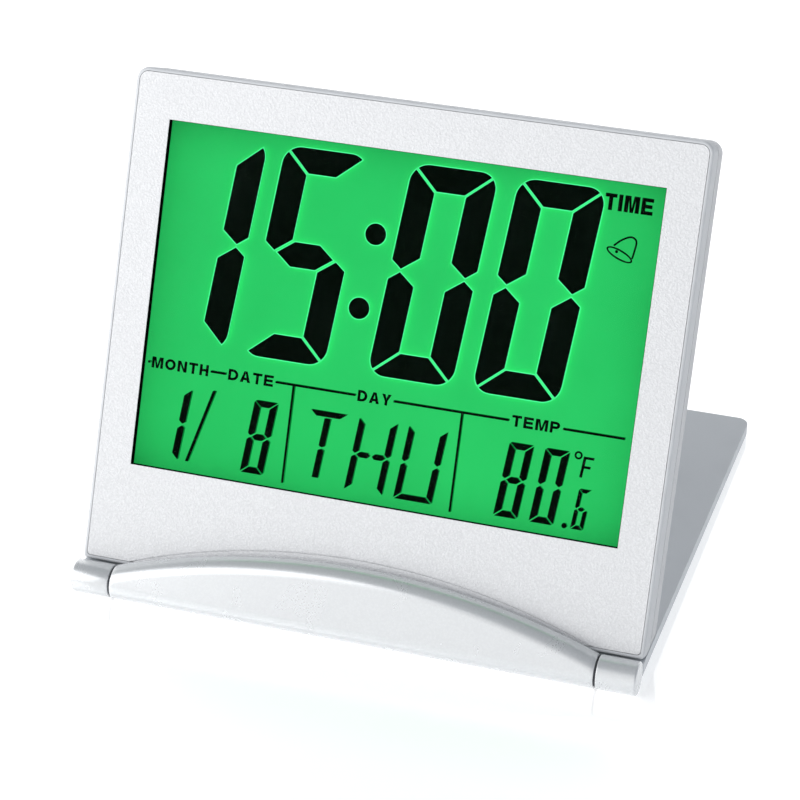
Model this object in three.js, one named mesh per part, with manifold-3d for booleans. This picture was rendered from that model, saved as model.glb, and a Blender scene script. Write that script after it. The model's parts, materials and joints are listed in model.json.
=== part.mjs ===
// Folding desk alarm clock: a leaning display body hinged to a flat cover that swings right round
// behind it to become the stand. Millimetres, X across, +Y towards the back, +Z up, table at z = 0.
import * as THREE from "three";
import { mergeVertices } from "three/addons/utils/BufferGeometryUtils.js";
import Module from "manifold-3d";

const wasm = await Module();
wasm.setup();

// ---- Overall sizes -------------------------------------------------------------------------
const WIDTH = 115;
const LEAN = THREE.MathUtils.degToRad(23.7);
const CORNER_R = 2.5;
const FOOT_R = 0.8; // lower corners of the case, beside the barrels
const FACE_BACK = 2.0; // face plane behind the hinge axis
const CASE_TOP = 101.6; // top of the case above the hinge axis, along the body
const FRONT_DEPTH = 5.0; // depth of the front moulding
const WALL = 1.6;
const EDGE_R = 0.6;

// ---- Clearances ----------------------------------------------------------------------------
const SEAM = 0.3; // visible joint between two mouldings
const FIT = 0.1; // sealed pieces that lie against each other
const BARREL_CLEAR = 0.47; // between an end barrel and the body's lower edge
const RUNNING = 0.05; // pin in its bore
const SLIDE_GAP = 0.25; // button or door in its opening
const OVERCUT = 1;

// ---- Display and window --------------------------------------------------------------------
const SIDE_MARGIN = 7.85; // face each side of the window
const TOP_MARGIN = 9.6;
const WINDOW_LOW = 23.5;
const RIM_W = 0.7;
const FACE_T = 1.2;
const LENS_LAP = 1.5;
const LENS_T = 1.0;
const GLASS_LAP = 0.8;
const GLASS_T = 0.7;
const GLASS_LEDGE = 3;
const GUIDE_T = 1.4;
const LED_SIZE = [1.2, 1.2, 3];
const SHELF_T = 1.2;

// ---- Circuit board, cell and buzzer --------------------------------------------------------
const BOARD_T = 1.0;
const BOARD_GAP = 0.65; // behind the light guide
const BOARD_MARGIN = 2.5; // from the screw bosses
const BOARD_DROP = 6.5; // below the window's lower edge
const CHIP_R = 5;
const CHIP_DROP = 23; // of the chip below the button row
const CRYSTAL_SIZE = [6, 1.4, 2];
const CELL_R = 10;
const CELL_T = 3.2;
const CELL_AT = [27, 40];
const CELL_GAP = 0.4; // spring contact between the light guide and the cell
const WELL_WALL = 1.0;
const BUZZER_R = 8;
const BUZZER_T = 0.5;
const BUZZER_AT = [-30, 38];

// ---- Case split and screws -----------------------------------------------------------------
const BOSS_R = 2.1;
const BOSS_INSET = 0.2;
const BOSS_DROP = 4.6; // of the top screws below the case's top
const SHANK_R = 0.95;
const HEAD_R = 2.0;
const HEAD_T = 1.0;

// ---- Buttons and battery door --------------------------------------------------------------
const BUTTON_R = 3.4;
const BUTTON_PROUD = 0.5;
const BUTTON_TRAVEL = 0.5;
const FLANGE_LAP = 0.9;
const FLANGE_T = 0.7;
const BUTTON_ROW_DROP = 23.6;
const BUTTON_PITCH = 18;
const BUTTON_NAMES = ["mode", "set", "up", "down", "alarm"];
const SNOOZE_SIZE = [30, 5.6];
const SNOOZE_DROP = 10.6;
const DOME_R = 2.5;
const DOME_T = 0.3;
const DOOR_LAP = [4, 2.5]; // of the door past the battery well
const DOOR_T = 0.9;
const DOOR_POCKET = 1.0;

// ---- Hinge ---------------------------------------------------------------------------------
const BARREL_R = 3.35;
const BARREL_L = 7.8;
const HINGE_GAP = 0.4; // between each end barrel and the middle knuckle
const PIN_R = 1.2;
const PIN_IN = 6; // pin length inside the barrel and inside the knuckle
const ARCH_PEAK = 12.6; // top of the arched line on the face, above the hinge axis
const ARCH_MARGIN = 1.2; // strip of face between that line and the knuckle
const ARCH_LINE = 0.25;
const GROOVE_DEPTH = 0.4;
const KNUCKLE_BACK = 2.8;
const WASHER_R = 2.9;

// ---- Cover, which is the stand -------------------------------------------------------------
const COVER_T = 2.6;
const CLOSED_GAP = 0.6; // between the shut cover and the face
const COVER_EDGE_R = 0.5;
const NOTCH_GAP = 0.4;
const STOP_GAP = 0.4; // between the open cover and the body's underside
const TONGUE = { width: 4.8, reach: 8, thick: 1.2 };
const PAD_R = 4;
const PAD_PROUD = 0.5;
const PAD_RECESS = 0.4;
const PAD_INSET = 8.5;
const PAD_NEAR = 24;

// ---- Derived positions ---------------------------------------------------------------------
const HALF_W = WIDTH / 2;
const CASE_LOW = Math.sqrt((BARREL_R + BARREL_CLEAR) ** 2 - FACE_BACK ** 2);
const WINDOW_W = WIDTH - 2 * SIDE_MARGIN;
const WINDOW_TOP = CASE_TOP - TOP_MARGIN;
const WINDOW_MID = (WINDOW_LOW + WINDOW_TOP) / 2;
const FACE_REAR = FACE_BACK + FACE_T;
const LENS_BACK = FACE_REAR + FIT + LENS_T;
const FRONT_GLASS_BACK = LENS_BACK + FIT + GLASS_T;
const REAR_GLASS_BACK = FRONT_GLASS_BACK + FIT / 2 + GLASS_T;
const GUIDE_BACK = REAR_GLASS_BACK + FIT + GUIDE_T;
const SHELF_BACK = FACE_REAR + FIT + SHELF_T;
const SPLIT = FACE_BACK + FRONT_DEPTH;
const BOARD_FRONT = GUIDE_BACK + BOARD_GAP;
const BOARD_BACK = BOARD_FRONT + BOARD_T;
const CELL_FRONT = GUIDE_BACK + CELL_GAP;
const CELL_BACK = CELL_FRONT + CELL_T;
const REAR_INNER = CELL_BACK + RUNNING;
const CASE_BACK = REAR_INNER + WALL;
const BOSS_X = HALF_W - WALL - BOSS_R - BOSS_INSET;
const BOARD_HALF_W = BOSS_X - BOSS_R - BOARD_MARGIN;
const BOARD_LOW = WINDOW_LOW - BOARD_DROP;
const BOARD_TOP = CASE_TOP - BOSS_DROP;
const BUTTON_ROW_Z = CASE_TOP - BUTTON_ROW_DROP;
const SNOOZE_Z = CASE_TOP - SNOOZE_DROP;
const WELL_INNER = CELL_R + WELL_WALL;
const WELL_OUTER = WELL_INNER + WELL_WALL;
const BARREL_IN = HALF_W - BARREL_L;
const KNUCKLE_END = BARREL_IN - HINGE_GAP;
const COVER_INNER = FACE_BACK - CLOSED_GAP; // inner skin's distance from the hinge axis
const COVER_OUTER = COVER_T - COVER_INNER;
const PAD_FOOT = COVER_INNER + PAD_PROUD;
const PAD_X = HALF_W - PAD_INSET;
const PAD_YS = [PAD_NEAR, CASE_TOP - PAD_INSET];
const PAD_FAR = PAD_YS[1] + PAD_R;
const COVER_TILT = Math.asin(BARREL_R / Math.hypot(PAD_FAR, PAD_FOOT)) - Math.atan2(PAD_FOOT, PAD_FAR);
const UNDERSIDE = COVER_OUTER + STOP_GAP; // underside of the body above the hinge axis, level
const BOSS_ZS = [cavityFloor(REAR_INNER) + BOSS_R + 0.5, CASE_TOP - BOSS_DROP];
const KNUCKLE_SCREW_XS = [-18, 18];
const KNUCKLE_SCREW_SEAT = SHELF_BACK + FIT;
const KNUCKLE_SCREW_Z = cavityFloor(KNUCKLE_SCREW_SEAT + HEAD_T) + HEAD_R + 0.45;

/** Height along the body of the cavity's slanted floor, at a depth behind the hinge axis. */
function cavityFloor(depth) {
  return (UNDERSIDE + WALL + depth * Math.sin(LEAN)) / Math.cos(LEAN);
}

// ---- Finishes ------------------------------------------------------------------------------
const FINISH = {
  silver_grain: { color: 0xd6d8db, roughness: 0.45, metalness: 0.35 },
  silver_smooth: { color: 0xcdd0d4, roughness: 0.35, metalness: 0.4 },
  silver_gloss: { color: 0xd2d6d9, roughness: 0.18, metalness: 0.55 },
  silver_back: { color: 0xb9bdc2, roughness: 0.5, metalness: 0.25 },
  button_grey: { color: 0x8d9297, roughness: 0.55, metalness: 0 },
  clear: { color: 0xdff0e6, roughness: 0.05, metalness: 0 },
  display: { color: 0x2fcf6d, roughness: 0.2, metalness: 0 },
  diffuser: { color: 0xe9f5e6, roughness: 0.5, metalness: 0 },
  board: { color: 0x2c6b3f, roughness: 0.5, metalness: 0 },
  black: { color: 0x17181a, roughness: 0.7, metalness: 0 },
  rubber: { color: 0x3a3c3f, roughness: 0.9, metalness: 0 },
  steel: { color: 0xb8bcc0, roughness: 0.3, metalness: 1 },
  brass: { color: 0xc9a75a, roughness: 0.3, metalness: 1 },
};

// ---- Solid helpers -------------------------------------------------------------------------
/** A closed geometry as a solid. */
function solid(geometry) {
  const bare = geometry.clone();
  bare.deleteAttribute("normal");
  bare.deleteAttribute("uv");
  const merged = mergeVertices(bare, 1e-4);
  const vertProperties = new Float32Array(merged.attributes.position.array);
  const triVerts = new Uint32Array(merged.index.array);
  return new wasm.Manifold(new wasm.Mesh({ numProp: 3, vertProperties, triVerts }));
}

/** A solid back as a geometry. */
function geometryOf(body) {
  const raw = body.getMesh();
  const flat = new THREE.BufferGeometry();
  flat.setAttribute("position", new THREE.BufferAttribute(new Float32Array(raw.vertProperties), 3));
  flat.setIndex(new THREE.BufferAttribute(new Uint32Array(raw.triVerts), 1));
  flat.computeVertexNormals();
  return flat;
}

/** The first solid with every other one taken away. */
function cut(body, ...tools) {
  return tools.reduce((left, tool) => left.subtract(tool), body);
}

/** All the solids as one. */
function join(body, ...others) {
  return others.reduce((sum, other) => sum.add(other), body);
}

/** A block between two corners. */
function block([x0, y0, z0], [x1, y1, z1]) {
  const box = new THREE.BoxGeometry(x1 - x0, y1 - y0, z1 - z0);
  return solid(box.translate((x0 + x1) / 2, (y0 + y1) / 2, (z0 + z1) / 2));
}

/** A block that is the same each side of x = 0. */
function centredBlock(halfX, [y0, z0], [y1, z1]) {
  return block([-halfX, y0, z0], [halfX, y1, z1]);
}

/** A rounded rectangle outline, with a radius of its own for the two lower corners. */
function roundedRect(x0, z0, x1, z1, radius, foot = radius) {
  const outline = new THREE.Shape();
  outline.absarc(x1 - foot, z0 + foot, foot, -Math.PI / 2, 0);
  outline.absarc(x1 - radius, z1 - radius, radius, 0, Math.PI / 2);
  outline.absarc(x0 + radius, z1 - radius, radius, Math.PI / 2, Math.PI);
  outline.absarc(x0 + foot, z0 + foot, foot, Math.PI, Math.PI * 1.5);
  outline.closePath();
  return outline;
}

/** An X-Z outline carried along Y from y0 to y1, with its front and back edges rounded. */
function slab(outline, y0, y1, { round = 0, steps = 3, curve = 6 } = {}) {
  const options = { depth: y1 - y0 - 2 * round, curveSegments: curve, bevelEnabled: round > 0 };
  const rounding = { bevelThickness: round, bevelSize: round, bevelOffset: -round, bevelSegments: steps };
  const raised = new THREE.ExtrudeGeometry(outline, { ...options, ...rounding });
  return solid(raised.rotateX(Math.PI / 2).translate(0, y1 - round, 0));
}

/** A round rod along Y. */
function rodY(x, z, radius, y0, y1, segments = 24) {
  const rod = new THREE.CylinderGeometry(radius, radius, y1 - y0, segments);
  return solid(rod.translate(x, (y0 + y1) / 2, z));
}

/** A turned piece about the hinge axis, from [radius, x] points, on the right (1) or left (-1). */
function turnedX(profile, side, segments = 32) {
  const points = profile.map(([radius, x]) => new THREE.Vector2(radius, x));
  const lathe = new THREE.LatheGeometry(points, segments).rotateZ(-Math.PI / 2);
  return solid(side > 0 ? lathe : lathe.rotateZ(Math.PI));
}

/** Everything under a level plane, in the body's own leaning frame. */
function belowLevel(height) {
  const ground = new THREE.BoxGeometry(WIDTH * 2, CASE_TOP * 2, CASE_TOP);
  return solid(ground.translate(0, 0, height - CASE_TOP / 2).rotateX(LEAN));
}

/** A named mesh in one of the finishes. */
function piece(name, body, finish) {
  const mesh = new THREE.Mesh(geometryOf(body), new THREE.MeshStandardMaterial(FINISH[finish]));
  mesh.name = name;
  return mesh;
}

// ---- Arch shared by the face, the knuckle and the cover's notch ------------------------------
/** Radius of an arch that rises from `low` at half-width `half` to `peak` in the middle. */
function archRadius(peak, low, half) {
  const rise = peak - low;
  return (half * half + rise * rise) / (2 * rise);
}
const ARCH_R = archRadius(ARCH_PEAK, CASE_LOW, BARREL_IN);

/** Band between two arches with one centre, ended at x = -half and x = half. */
function archBand(innerDrop, outerDrop, half) {
  const centre = ARCH_PEAK - ARCH_R;
  const inner = ARCH_R - innerDrop;
  const outer = ARCH_R - outerDrop;
  const innerAngle = Math.asin(half / inner);
  const outerAngle = Math.asin(half / outer);
  const band = new THREE.Shape();
  band.absarc(0, centre, outer, Math.PI / 2 - outerAngle, Math.PI / 2 + outerAngle);
  band.absarc(0, centre, inner, Math.PI / 2 + innerAngle, Math.PI / 2 - innerAngle, true);
  band.closePath();
  return band;
}

// ---- Face plate and front moulding ---------------------------------------------------------
/** Window opening through everything in front of the display. */
function windowOpening() {
  return centredBlock(WINDOW_W / 2, [0, WINDOW_LOW], [FACE_REAR + OVERCUT, WINDOW_TOP]);
}

/** Outline of the case, drawn in by `inset`. */
function caseOutline(inset, foot = FOOT_R) {
  const radius = Math.max(CORNER_R - inset, 0.8);
  return roundedRect(-HALF_W + inset, CASE_LOW + inset, HALF_W - inset, CASE_TOP - inset, radius, foot);
}

/** Grained silver plate that frames the window, with the arched line above the hinge. */
function facePlate() {
  const plate = slab(caseOutline(RIM_W + FIT), FACE_BACK, FACE_REAR);
  const band = archBand(ARCH_LINE, 0, BARREL_IN - RIM_W);
  const line = slab(band, FACE_BACK - OVERCUT, FACE_BACK + GROOVE_DEPTH, { curve: 20 });
  return cut(plate, windowOpening(), line);
}

/** Cavity shared by both mouldings, with its floor parallel to the slanted underside. */
function caseCavity(y0, y1) {
  return cut(slab(caseOutline(WALL), y0, y1), belowLevel(UNDERSIDE + WALL));
}

/** Front moulding: rim, shelf round the lens, side walls and the four screw bosses. */
function frontCase() {
  const shell = slab(caseOutline(0), FACE_BACK, CASE_BACK, { round: EDGE_R, steps: 2 });
  const lensHalf = WINDOW_W / 2 + LENS_LAP + FIT;
  const lensLow = WINDOW_LOW - LENS_LAP - FIT;
  const lensTop = WINDOW_TOP + LENS_LAP + FIT;
  const hollowed = cut(
    shell,
    centredBlock(WIDTH, [SPLIT, 0], [CASE_BACK + OVERCUT, CASE_TOP + OVERCUT]),
    slab(caseOutline(RIM_W), FACE_BACK - OVERCUT, FACE_REAR + FIT / 2),
    centredBlock(lensHalf, [0, lensLow], [SHELF_BACK, lensTop]),
    caseCavity(SHELF_BACK - FIT, SPLIT + OVERCUT),
    belowLevel(UNDERSIDE),
  );
  const bosses = bossPoints().map(([x, z]) => rodY(x, z, BOSS_R, SHELF_BACK - 2 * FIT, REAR_INNER - FIT, 16));
  const pilots = bossPoints().map(([x, z]) => rodY(x, z, SHANK_R + RUNNING, SHELF_BACK + FIT, CASE_BACK, 12));
  const screwWays = KNUCKLE_SCREW_XS.map((x) => knuckleScrewWay(x));
  return cut(join(hollowed, ...bosses), ...pilots, ...screwWays);
}

/** Centres of the four case screws. */
function bossPoints() {
  return BOSS_ZS.flatMap((z) => [
    [-BOSS_X, z],
    [BOSS_X, z],
  ]);
}

// ---- Rear moulding -------------------------------------------------------------------------
/** Centres of the round buttons, left to right seen from the front. */
function buttonXs() {
  const middle = (BUTTON_NAMES.length - 1) / 2;
  return BUTTON_NAMES.map((_, i) => (i - middle) * BUTTON_PITCH);
}

/** Slots in front of the buzzer. */
function soundSlots() {
  const [x, z] = BUZZER_AT;
  const pitch = 2.6;
  return [-2, -1, 0, 1, 2].map((i) => {
    const half = Math.sqrt(BUZZER_R ** 2 - (i * pitch) ** 2) - 1;
    return block([x - half, 0, z + i * pitch - 0.6], [x + half, CASE_BACK + OVERCUT, z + i * pitch + 0.6]);
  });
}

/** Outline of the battery door, grown by `grow`. */
function doorOutline(grow) {
  const [x, z] = CELL_AT;
  const halfW = WELL_INNER + DOOR_LAP[0] + grow;
  const halfH = WELL_INNER + DOOR_LAP[1] + grow;
  return roundedRect(x - halfW, z - halfH, x + halfW, z + halfH, 2 + grow);
}

/** Outline of the snooze bar, grown by `grow`. */
function snoozeOutline(grow) {
  const halfW = SNOOZE_SIZE[0] / 2 + grow;
  const halfH = SNOOZE_SIZE[1] / 2 + grow;
  return roundedRect(-halfW, SNOOZE_Z - halfH, halfW, SNOOZE_Z + halfH, halfH - 0.01);
}

/** Rear moulding: tub with the battery well, button holes, sound slots and screw seats. */
function rearCase() {
  const shell = slab(caseOutline(0, 1.3), FACE_BACK, CASE_BACK, { round: 1.2, steps: 3 });
  const tub = cut(
    shell,
    centredBlock(WIDTH, [0, 0], [SPLIT + SEAM, CASE_TOP + OVERCUT]),
    caseCavity(SPLIT, REAR_INNER),
    belowLevel(UNDERSIDE),
  );
  const [cellX, cellZ] = CELL_AT;
  const well = rodY(cellX, cellZ, WELL_OUTER, BOARD_BACK + SEAM, REAR_INNER + FIT, 32);
  const headSeat = CASE_BACK - HEAD_T - FIT;
  const openings = [
    rodY(cellX, cellZ, WELL_INNER, 0, CASE_BACK + OVERCUT, 32),
    slab(doorOutline(SLIDE_GAP), CASE_BACK - DOOR_POCKET, CASE_BACK + OVERCUT),
    slab(snoozeOutline(SLIDE_GAP), 0, CASE_BACK + OVERCUT),
    ...buttonXs().map((x) => rodY(x, BUTTON_ROW_Z, BUTTON_R + SLIDE_GAP, 0, CASE_BACK + OVERCUT)),
    ...soundSlots(),
    ...bossPoints().map(([x, z]) => rodY(x, z, SHANK_R + SLIDE_GAP, REAR_INNER - OVERCUT, CASE_BACK, 12)),
    ...bossPoints().map(([x, z]) => rodY(x, z, HEAD_R + FIT, headSeat, CASE_BACK + OVERCUT, 20)),
    rodY(0, cellZ, 0.8, 0, CASE_BACK + OVERCUT, 12),
  ];
  return cut(join(tub, well), ...openings);
}

/** Battery door with a thumb groove. */
function batteryDoor() {
  const back = CASE_BACK - 0.05;
  const [x, z] = CELL_AT;
  const leaf = slab(doorOutline(0), back - DOOR_T, back);
  const grooves = [0, 1, 2].map((i) => {
    const low = z + WELL_INNER + DOOR_LAP[1] - 4.5 - i * 1.8;
    return block([x - 5, back - 0.4, low], [x + 5, back + OVERCUT, low + 0.9]);
  });
  return cut(leaf, ...grooves);
}

/** Round button cap with the flange that keeps it in its hole. */
function roundButton(x) {
  const back = CASE_BACK + BUTTON_PROUD;
  const flangeBack = REAR_INNER - FIT;
  const cap = rodY(x, BUTTON_ROW_Z, BUTTON_R, flangeBack - FLANGE_T / 2, back);
  const flange = rodY(x, BUTTON_ROW_Z, BUTTON_R + FLANGE_LAP, flangeBack - FLANGE_T, flangeBack);
  return join(cap, flange);
}

/** Long snooze and light bar above the round buttons. */
function snoozeButton() {
  const flangeBack = REAR_INNER - FIT;
  const back = CASE_BACK + BUTTON_PROUD;
  const cap = slab(snoozeOutline(0), flangeBack - FLANGE_T / 2, back, { round: 0.3, steps: 1 });
  return join(cap, slab(snoozeOutline(FLANGE_LAP), flangeBack - FLANGE_T, flangeBack));
}

/** Case screw with a cross recess. */
function caseScrew(x, z) {
  const back = CASE_BACK - FIT;
  const head = rodY(x, z, HEAD_R, back - HEAD_T + FIT, back, 20);
  const shank = rodY(x, z, SHANK_R, SPLIT, back - HEAD_T / 2, 12);
  return cut(
    join(head, shank),
    block([x - 1.2, back - 0.5, z - 0.2], [x + 1.2, back + OVERCUT, z + 0.2]),
    block([x - 0.2, back - 0.5, z - 1.2], [x + 0.2, back + OVERCUT, z + 1.2]),
  );
}

// ---- Display stack and electronics ---------------------------------------------------------
/** Flat pane centred on the window, `lap` larger all round and `drop` longer below. */
function pane(lap, drop, y0, y1) {
  const low = WINDOW_LOW - lap - drop;
  return centredBlock(WINDOW_W / 2 + lap, [y0, low], [y1, WINDOW_TOP + lap]);
}

/** Lens, display glass, light guide and its two lamps. */
function displayPieces() {
  const ledX = WINDOW_W / 2 + GLASS_LAP + FIT;
  const ledFront = GUIDE_BACK - LED_SIZE[1];
  const lamp = (side) => {
    const near = Math.min(side * ledX, side * (ledX + LED_SIZE[0]));
    const low = WINDOW_MID - LED_SIZE[2] / 2;
    return block([near, ledFront, low], [near + LED_SIZE[0], GUIDE_BACK, low + LED_SIZE[2]]);
  };
  const connectorLow = WINDOW_LOW - GLASS_LAP - GLASS_LEDGE + FIT;
  const connector = centredBlock(
    BOARD_HALF_W - 6,
    [FRONT_GLASS_BACK + FIT, connectorLow],
    [BOARD_FRONT - FIT, connectorLow + GLASS_LEDGE - 4 * FIT],
  );
  return [
    piece("window_lens", pane(LENS_LAP, 0, FACE_REAR + FIT, LENS_BACK), "clear"),
    piece("lcd_front_glass", pane(GLASS_LAP, GLASS_LEDGE, LENS_BACK + FIT, FRONT_GLASS_BACK), "display"),
    piece("lcd_rear_glass", pane(GLASS_LAP, 0, REAR_GLASS_BACK - GLASS_T, REAR_GLASS_BACK), "display"),
    piece("light_guide", pane(GLASS_LAP, 0, REAR_GLASS_BACK + FIT, GUIDE_BACK), "diffuser"),
    piece("backlight_led_left", lamp(-1), "diffuser"),
    piece("backlight_led_right", lamp(1), "diffuser"),
    piece("lcd_connector_strip", connector, "rubber"),
  ];
}

/** Board with its chip, clock crystal, switch domes, cell, contacts and buzzer. */
function electronics() {
  const [cellX, cellZ] = CELL_AT;
  const [buzzerX, buzzerZ] = BUZZER_AT;
  const buzzerBack = REAR_INNER - SEAM;
  const board = cut(
    centredBlock(BOARD_HALF_W, [BOARD_FRONT, BOARD_LOW], [BOARD_BACK, BOARD_TOP]),
    rodY(cellX, cellZ, WELL_OUTER, 0, CASE_BACK, 32),
  );
  const onBoard = BOARD_BACK + RUNNING;
  const rim = CELL_R + FIT;
  const chipZ = BUTTON_ROW_Z - CHIP_DROP;
  const crystal = [CHIP_R - 1, onBoard, chipZ + CHIP_R / 2];
  const domes = [...buttonXs().map((x) => [x, BUTTON_ROW_Z]), [0, SNOOZE_Z]];
  const domeNames = [...BUTTON_NAMES, "snooze"];
  return [
    piece("circuit_board", board, "board"),
    piece("clock_chip", rodY(-CHIP_R - 1, chipZ, CHIP_R, onBoard, onBoard + 1.2, 20), "black"),
    piece("clock_crystal", block(crystal, crystal.map((low, i) => low + CRYSTAL_SIZE[i])), "steel"),
    piece("coin_cell", rodY(cellX, cellZ, CELL_R, CELL_FRONT, CELL_BACK, 36), "steel"),
    piece(
      "cell_contact_minus",
      block([cellX - 3, CELL_FRONT - 0.3, cellZ - 8], [cellX + 3, CELL_FRONT - FIT, cellZ + 9]),
      "brass",
    ),
    piece(
      "cell_contact_plus",
      block([cellX + rim, CELL_FRONT, cellZ - 3], [cellX + rim + 0.4, CELL_BACK - FIT, cellZ + 3]),
      "brass",
    ),
    piece("buzzer_disc", rodY(buzzerX, buzzerZ, BUZZER_R, buzzerBack - BUZZER_T, buzzerBack, 28), "brass"),
    ...domes.map(([x, z], i) => {
      const dome = rodY(x, z, DOME_R, onBoard, onBoard + DOME_T, 16);
      return piece("switch_dome_" + domeNames[i], dome, "steel");
    }),
  ];
}

// ---- Hinge knuckle on the body ---------------------------------------------------------------
/** Clear way for a screw that holds the knuckle from inside the front moulding. */
function knuckleScrewWay(x) {
  return rodY(x, KNUCKLE_SCREW_Z, SHANK_R + SLIDE_GAP, 0, SHELF_BACK + OVERCUT, 12);
}

/** Screw that holds the knuckle to the face from inside. */
function knuckleScrew(x) {
  const seat = KNUCKLE_SCREW_SEAT;
  const shank = rodY(x, KNUCKLE_SCREW_Z, SHANK_R, -0.5, seat + HEAD_T / 2, 12);
  return join(shank, rodY(x, KNUCKLE_SCREW_Z, HEAD_R, seat, seat + HEAD_T, 16));
}

/** Arched knuckle between the end barrels; its ends have the barrels' own round section. */
function hingeKnuckle() {
  const rise = ARCH_PEAK - ARCH_MARGIN - BARREL_R;
  const radius = archRadius(rise, 0, KNUCKLE_END);
  const half = Math.asin(KNUCKLE_END / radius);
  const sliver = 0.05;
  const core = new THREE.Shape();
  core.moveTo(-HALF_W, 0);
  core.lineTo(HALF_W, 0);
  core.lineTo(HALF_W, sliver);
  core.absarc(0, sliver + rise - radius, radius, Math.PI / 2 - half, Math.PI / 2 + half);
  core.lineTo(-HALF_W, sliver);
  core.closePath();
  const options = { depth: CASE_BACK, curveSegments: 28, bevelEnabled: true, bevelSegments: 6 };
  const rounding = { bevelThickness: BARREL_R, bevelSize: BARREL_R };
  const swept = new THREE.ExtrudeGeometry(core, { ...options, ...rounding });
  const whole = solid(swept.rotateX(Math.PI / 2).translate(0, CASE_BACK, 0));
  const ends = [-1, 1].map((side) => {
    const near = Math.min(side * KNUCKLE_END, side * WIDTH);
    return block([near, -CASE_TOP, -CASE_TOP], [near + WIDTH - KNUCKLE_END, CASE_TOP, CASE_TOP]);
  });
  const boreR = PIN_R + RUNNING;
  const boreEnd = KNUCKLE_END - PIN_IN - FIT;
  const bore = (side) => turnedX([[0, boreEnd], [boreR, boreEnd], [boreR, HALF_W], [0, HALF_W]], side, 24);
  return cut(
    whole,
    ...ends,
    centredBlock(WIDTH, [FACE_BACK - FIT, CASE_LOW - FIT], [CASE_TOP, CASE_TOP]),
    centredBlock(WIDTH, [KNUCKLE_BACK, -CASE_TOP], [CASE_TOP, CASE_TOP]),
    belowLevel(-BARREL_R),
    bore(-1),
    bore(1),
    ...KNUCKLE_SCREW_XS.map((x) => rodY(x, KNUCKLE_SCREW_Z, SHANK_R + RUNNING, -0.5 - FIT, CASE_BACK, 12)),
  );
}

/** Pin that runs from the knuckle into an end barrel. */
function hingePin(side) {
  const from = KNUCKLE_END - PIN_IN;
  const to = BARREL_IN + PIN_IN - FIT;
  return turnedX([[0, from], [PIN_R, from], [PIN_R, to], [0, to]], side, 24);
}

/** Thin friction washer in the gap between the knuckle and an end barrel. */
function frictionWasher(side) {
  const bore = PIN_R + RUNNING;
  const from = KNUCKLE_END + RUNNING;
  const to = BARREL_IN - RUNNING;
  return turnedX([[bore, from], [WASHER_R, from], [WASHER_R, to], [bore, to], [bore, from]], side, 24);
}

// ---- Cover ---------------------------------------------------------------------------------
/** Cover outline: full-width plate with an arched notch that clears the knuckle. */
function coverOutline() {
  const radius = ARCH_R + NOTCH_GAP;
  const edge = BARREL_IN;
  const half = Math.asin(edge / radius);
  const outline = new THREE.Shape();
  outline.moveTo(HALF_W, 0);
  outline.lineTo(HALF_W, CASE_TOP - CORNER_R);
  outline.absarc(HALF_W - CORNER_R, CASE_TOP - CORNER_R, CORNER_R, 0, Math.PI / 2);
  outline.absarc(-HALF_W + CORNER_R, CASE_TOP - CORNER_R, CORNER_R, Math.PI / 2, Math.PI);
  outline.lineTo(-HALF_W, 0);
  outline.lineTo(-edge, 0);
  outline.absarc(0, ARCH_PEAK - ARCH_R, radius, Math.PI / 2 + half, Math.PI / 2 - half, true);
  outline.lineTo(edge, 0);
  outline.closePath();
  return outline;
}

/** Box that the barrel's tongue fills, grown by `grow`. */
function tongueBlock(side, grow) {
  const middle = side * (BARREL_IN + BARREL_L / 2);
  const halfW = TONGUE.width / 2 + grow;
  const halfT = TONGUE.thick / 2 + grow;
  return block([middle - halfW, BARREL_R - 1, -halfT], [middle + halfW, TONGUE.reach + grow, halfT]);
}

/** Flat cover plate, in its own frame: hinge axis at the origin, plate towards +Y. */
function coverPlate() {
  const round = COVER_EDGE_R;
  const options = { depth: COVER_T - 2 * round, curveSegments: 20, bevelEnabled: true, bevelSegments: 2 };
  const rounding = { bevelThickness: round, bevelSize: round, bevelOffset: -round };
  const raised = new THREE.ExtrudeGeometry(coverOutline(), { ...options, ...rounding });
  const plate = solid(raised.translate(0, 0, round - COVER_INNER));
  const hollows = [-1, 1].flatMap((side) => {
    const clear = BARREL_R + RUNNING;
    const from = BARREL_IN - OVERCUT;
    const to = HALF_W + OVERCUT;
    return [turnedX([[0, from], [clear, from], [clear, to], [0, to]], side), tongueBlock(side, FIT)];
  });
  return cut(plate, ...hollows, ...padPoints().map(([x, y]) => padSeat(x, y)));
}

/** Glossy end barrel with a blind pin bore and a tongue that is held in the plate. */
function coverBarrel(side) {
  const soft = 0.4;
  const bore = PIN_R + RUNNING;
  const profile = [
    [0, BARREL_IN + PIN_IN],
    [bore, BARREL_IN + PIN_IN],
    [bore, BARREL_IN],
    [BARREL_R - soft / 2, BARREL_IN],
    [BARREL_R, BARREL_IN + soft / 2],
    [BARREL_R, HALF_W - soft],
    [BARREL_R - soft, HALF_W],
    [0, HALF_W],
  ];
  return join(turnedX(profile, side), tongueBlock(side, 0));
}

/** Centres of the rubber pads on the cover's inner skin. */
function padPoints() {
  return PAD_YS.flatMap((y) => [
    [-PAD_X, y],
    [PAD_X, y],
  ]);
}

/** Round pad body between two heights. */
function padRod(x, y, radius, z0, z1) {
  const rod = new THREE.CylinderGeometry(radius, radius, z1 - z0, 20).rotateX(Math.PI / 2);
  return solid(rod.translate(x, y, (z0 + z1) / 2));
}

/** Seat for a pad. */
function padSeat(x, y) {
  return padRod(x, y, PAD_R + FIT, -PAD_FOOT - OVERCUT, -COVER_INNER + PAD_RECESS);
}

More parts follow.
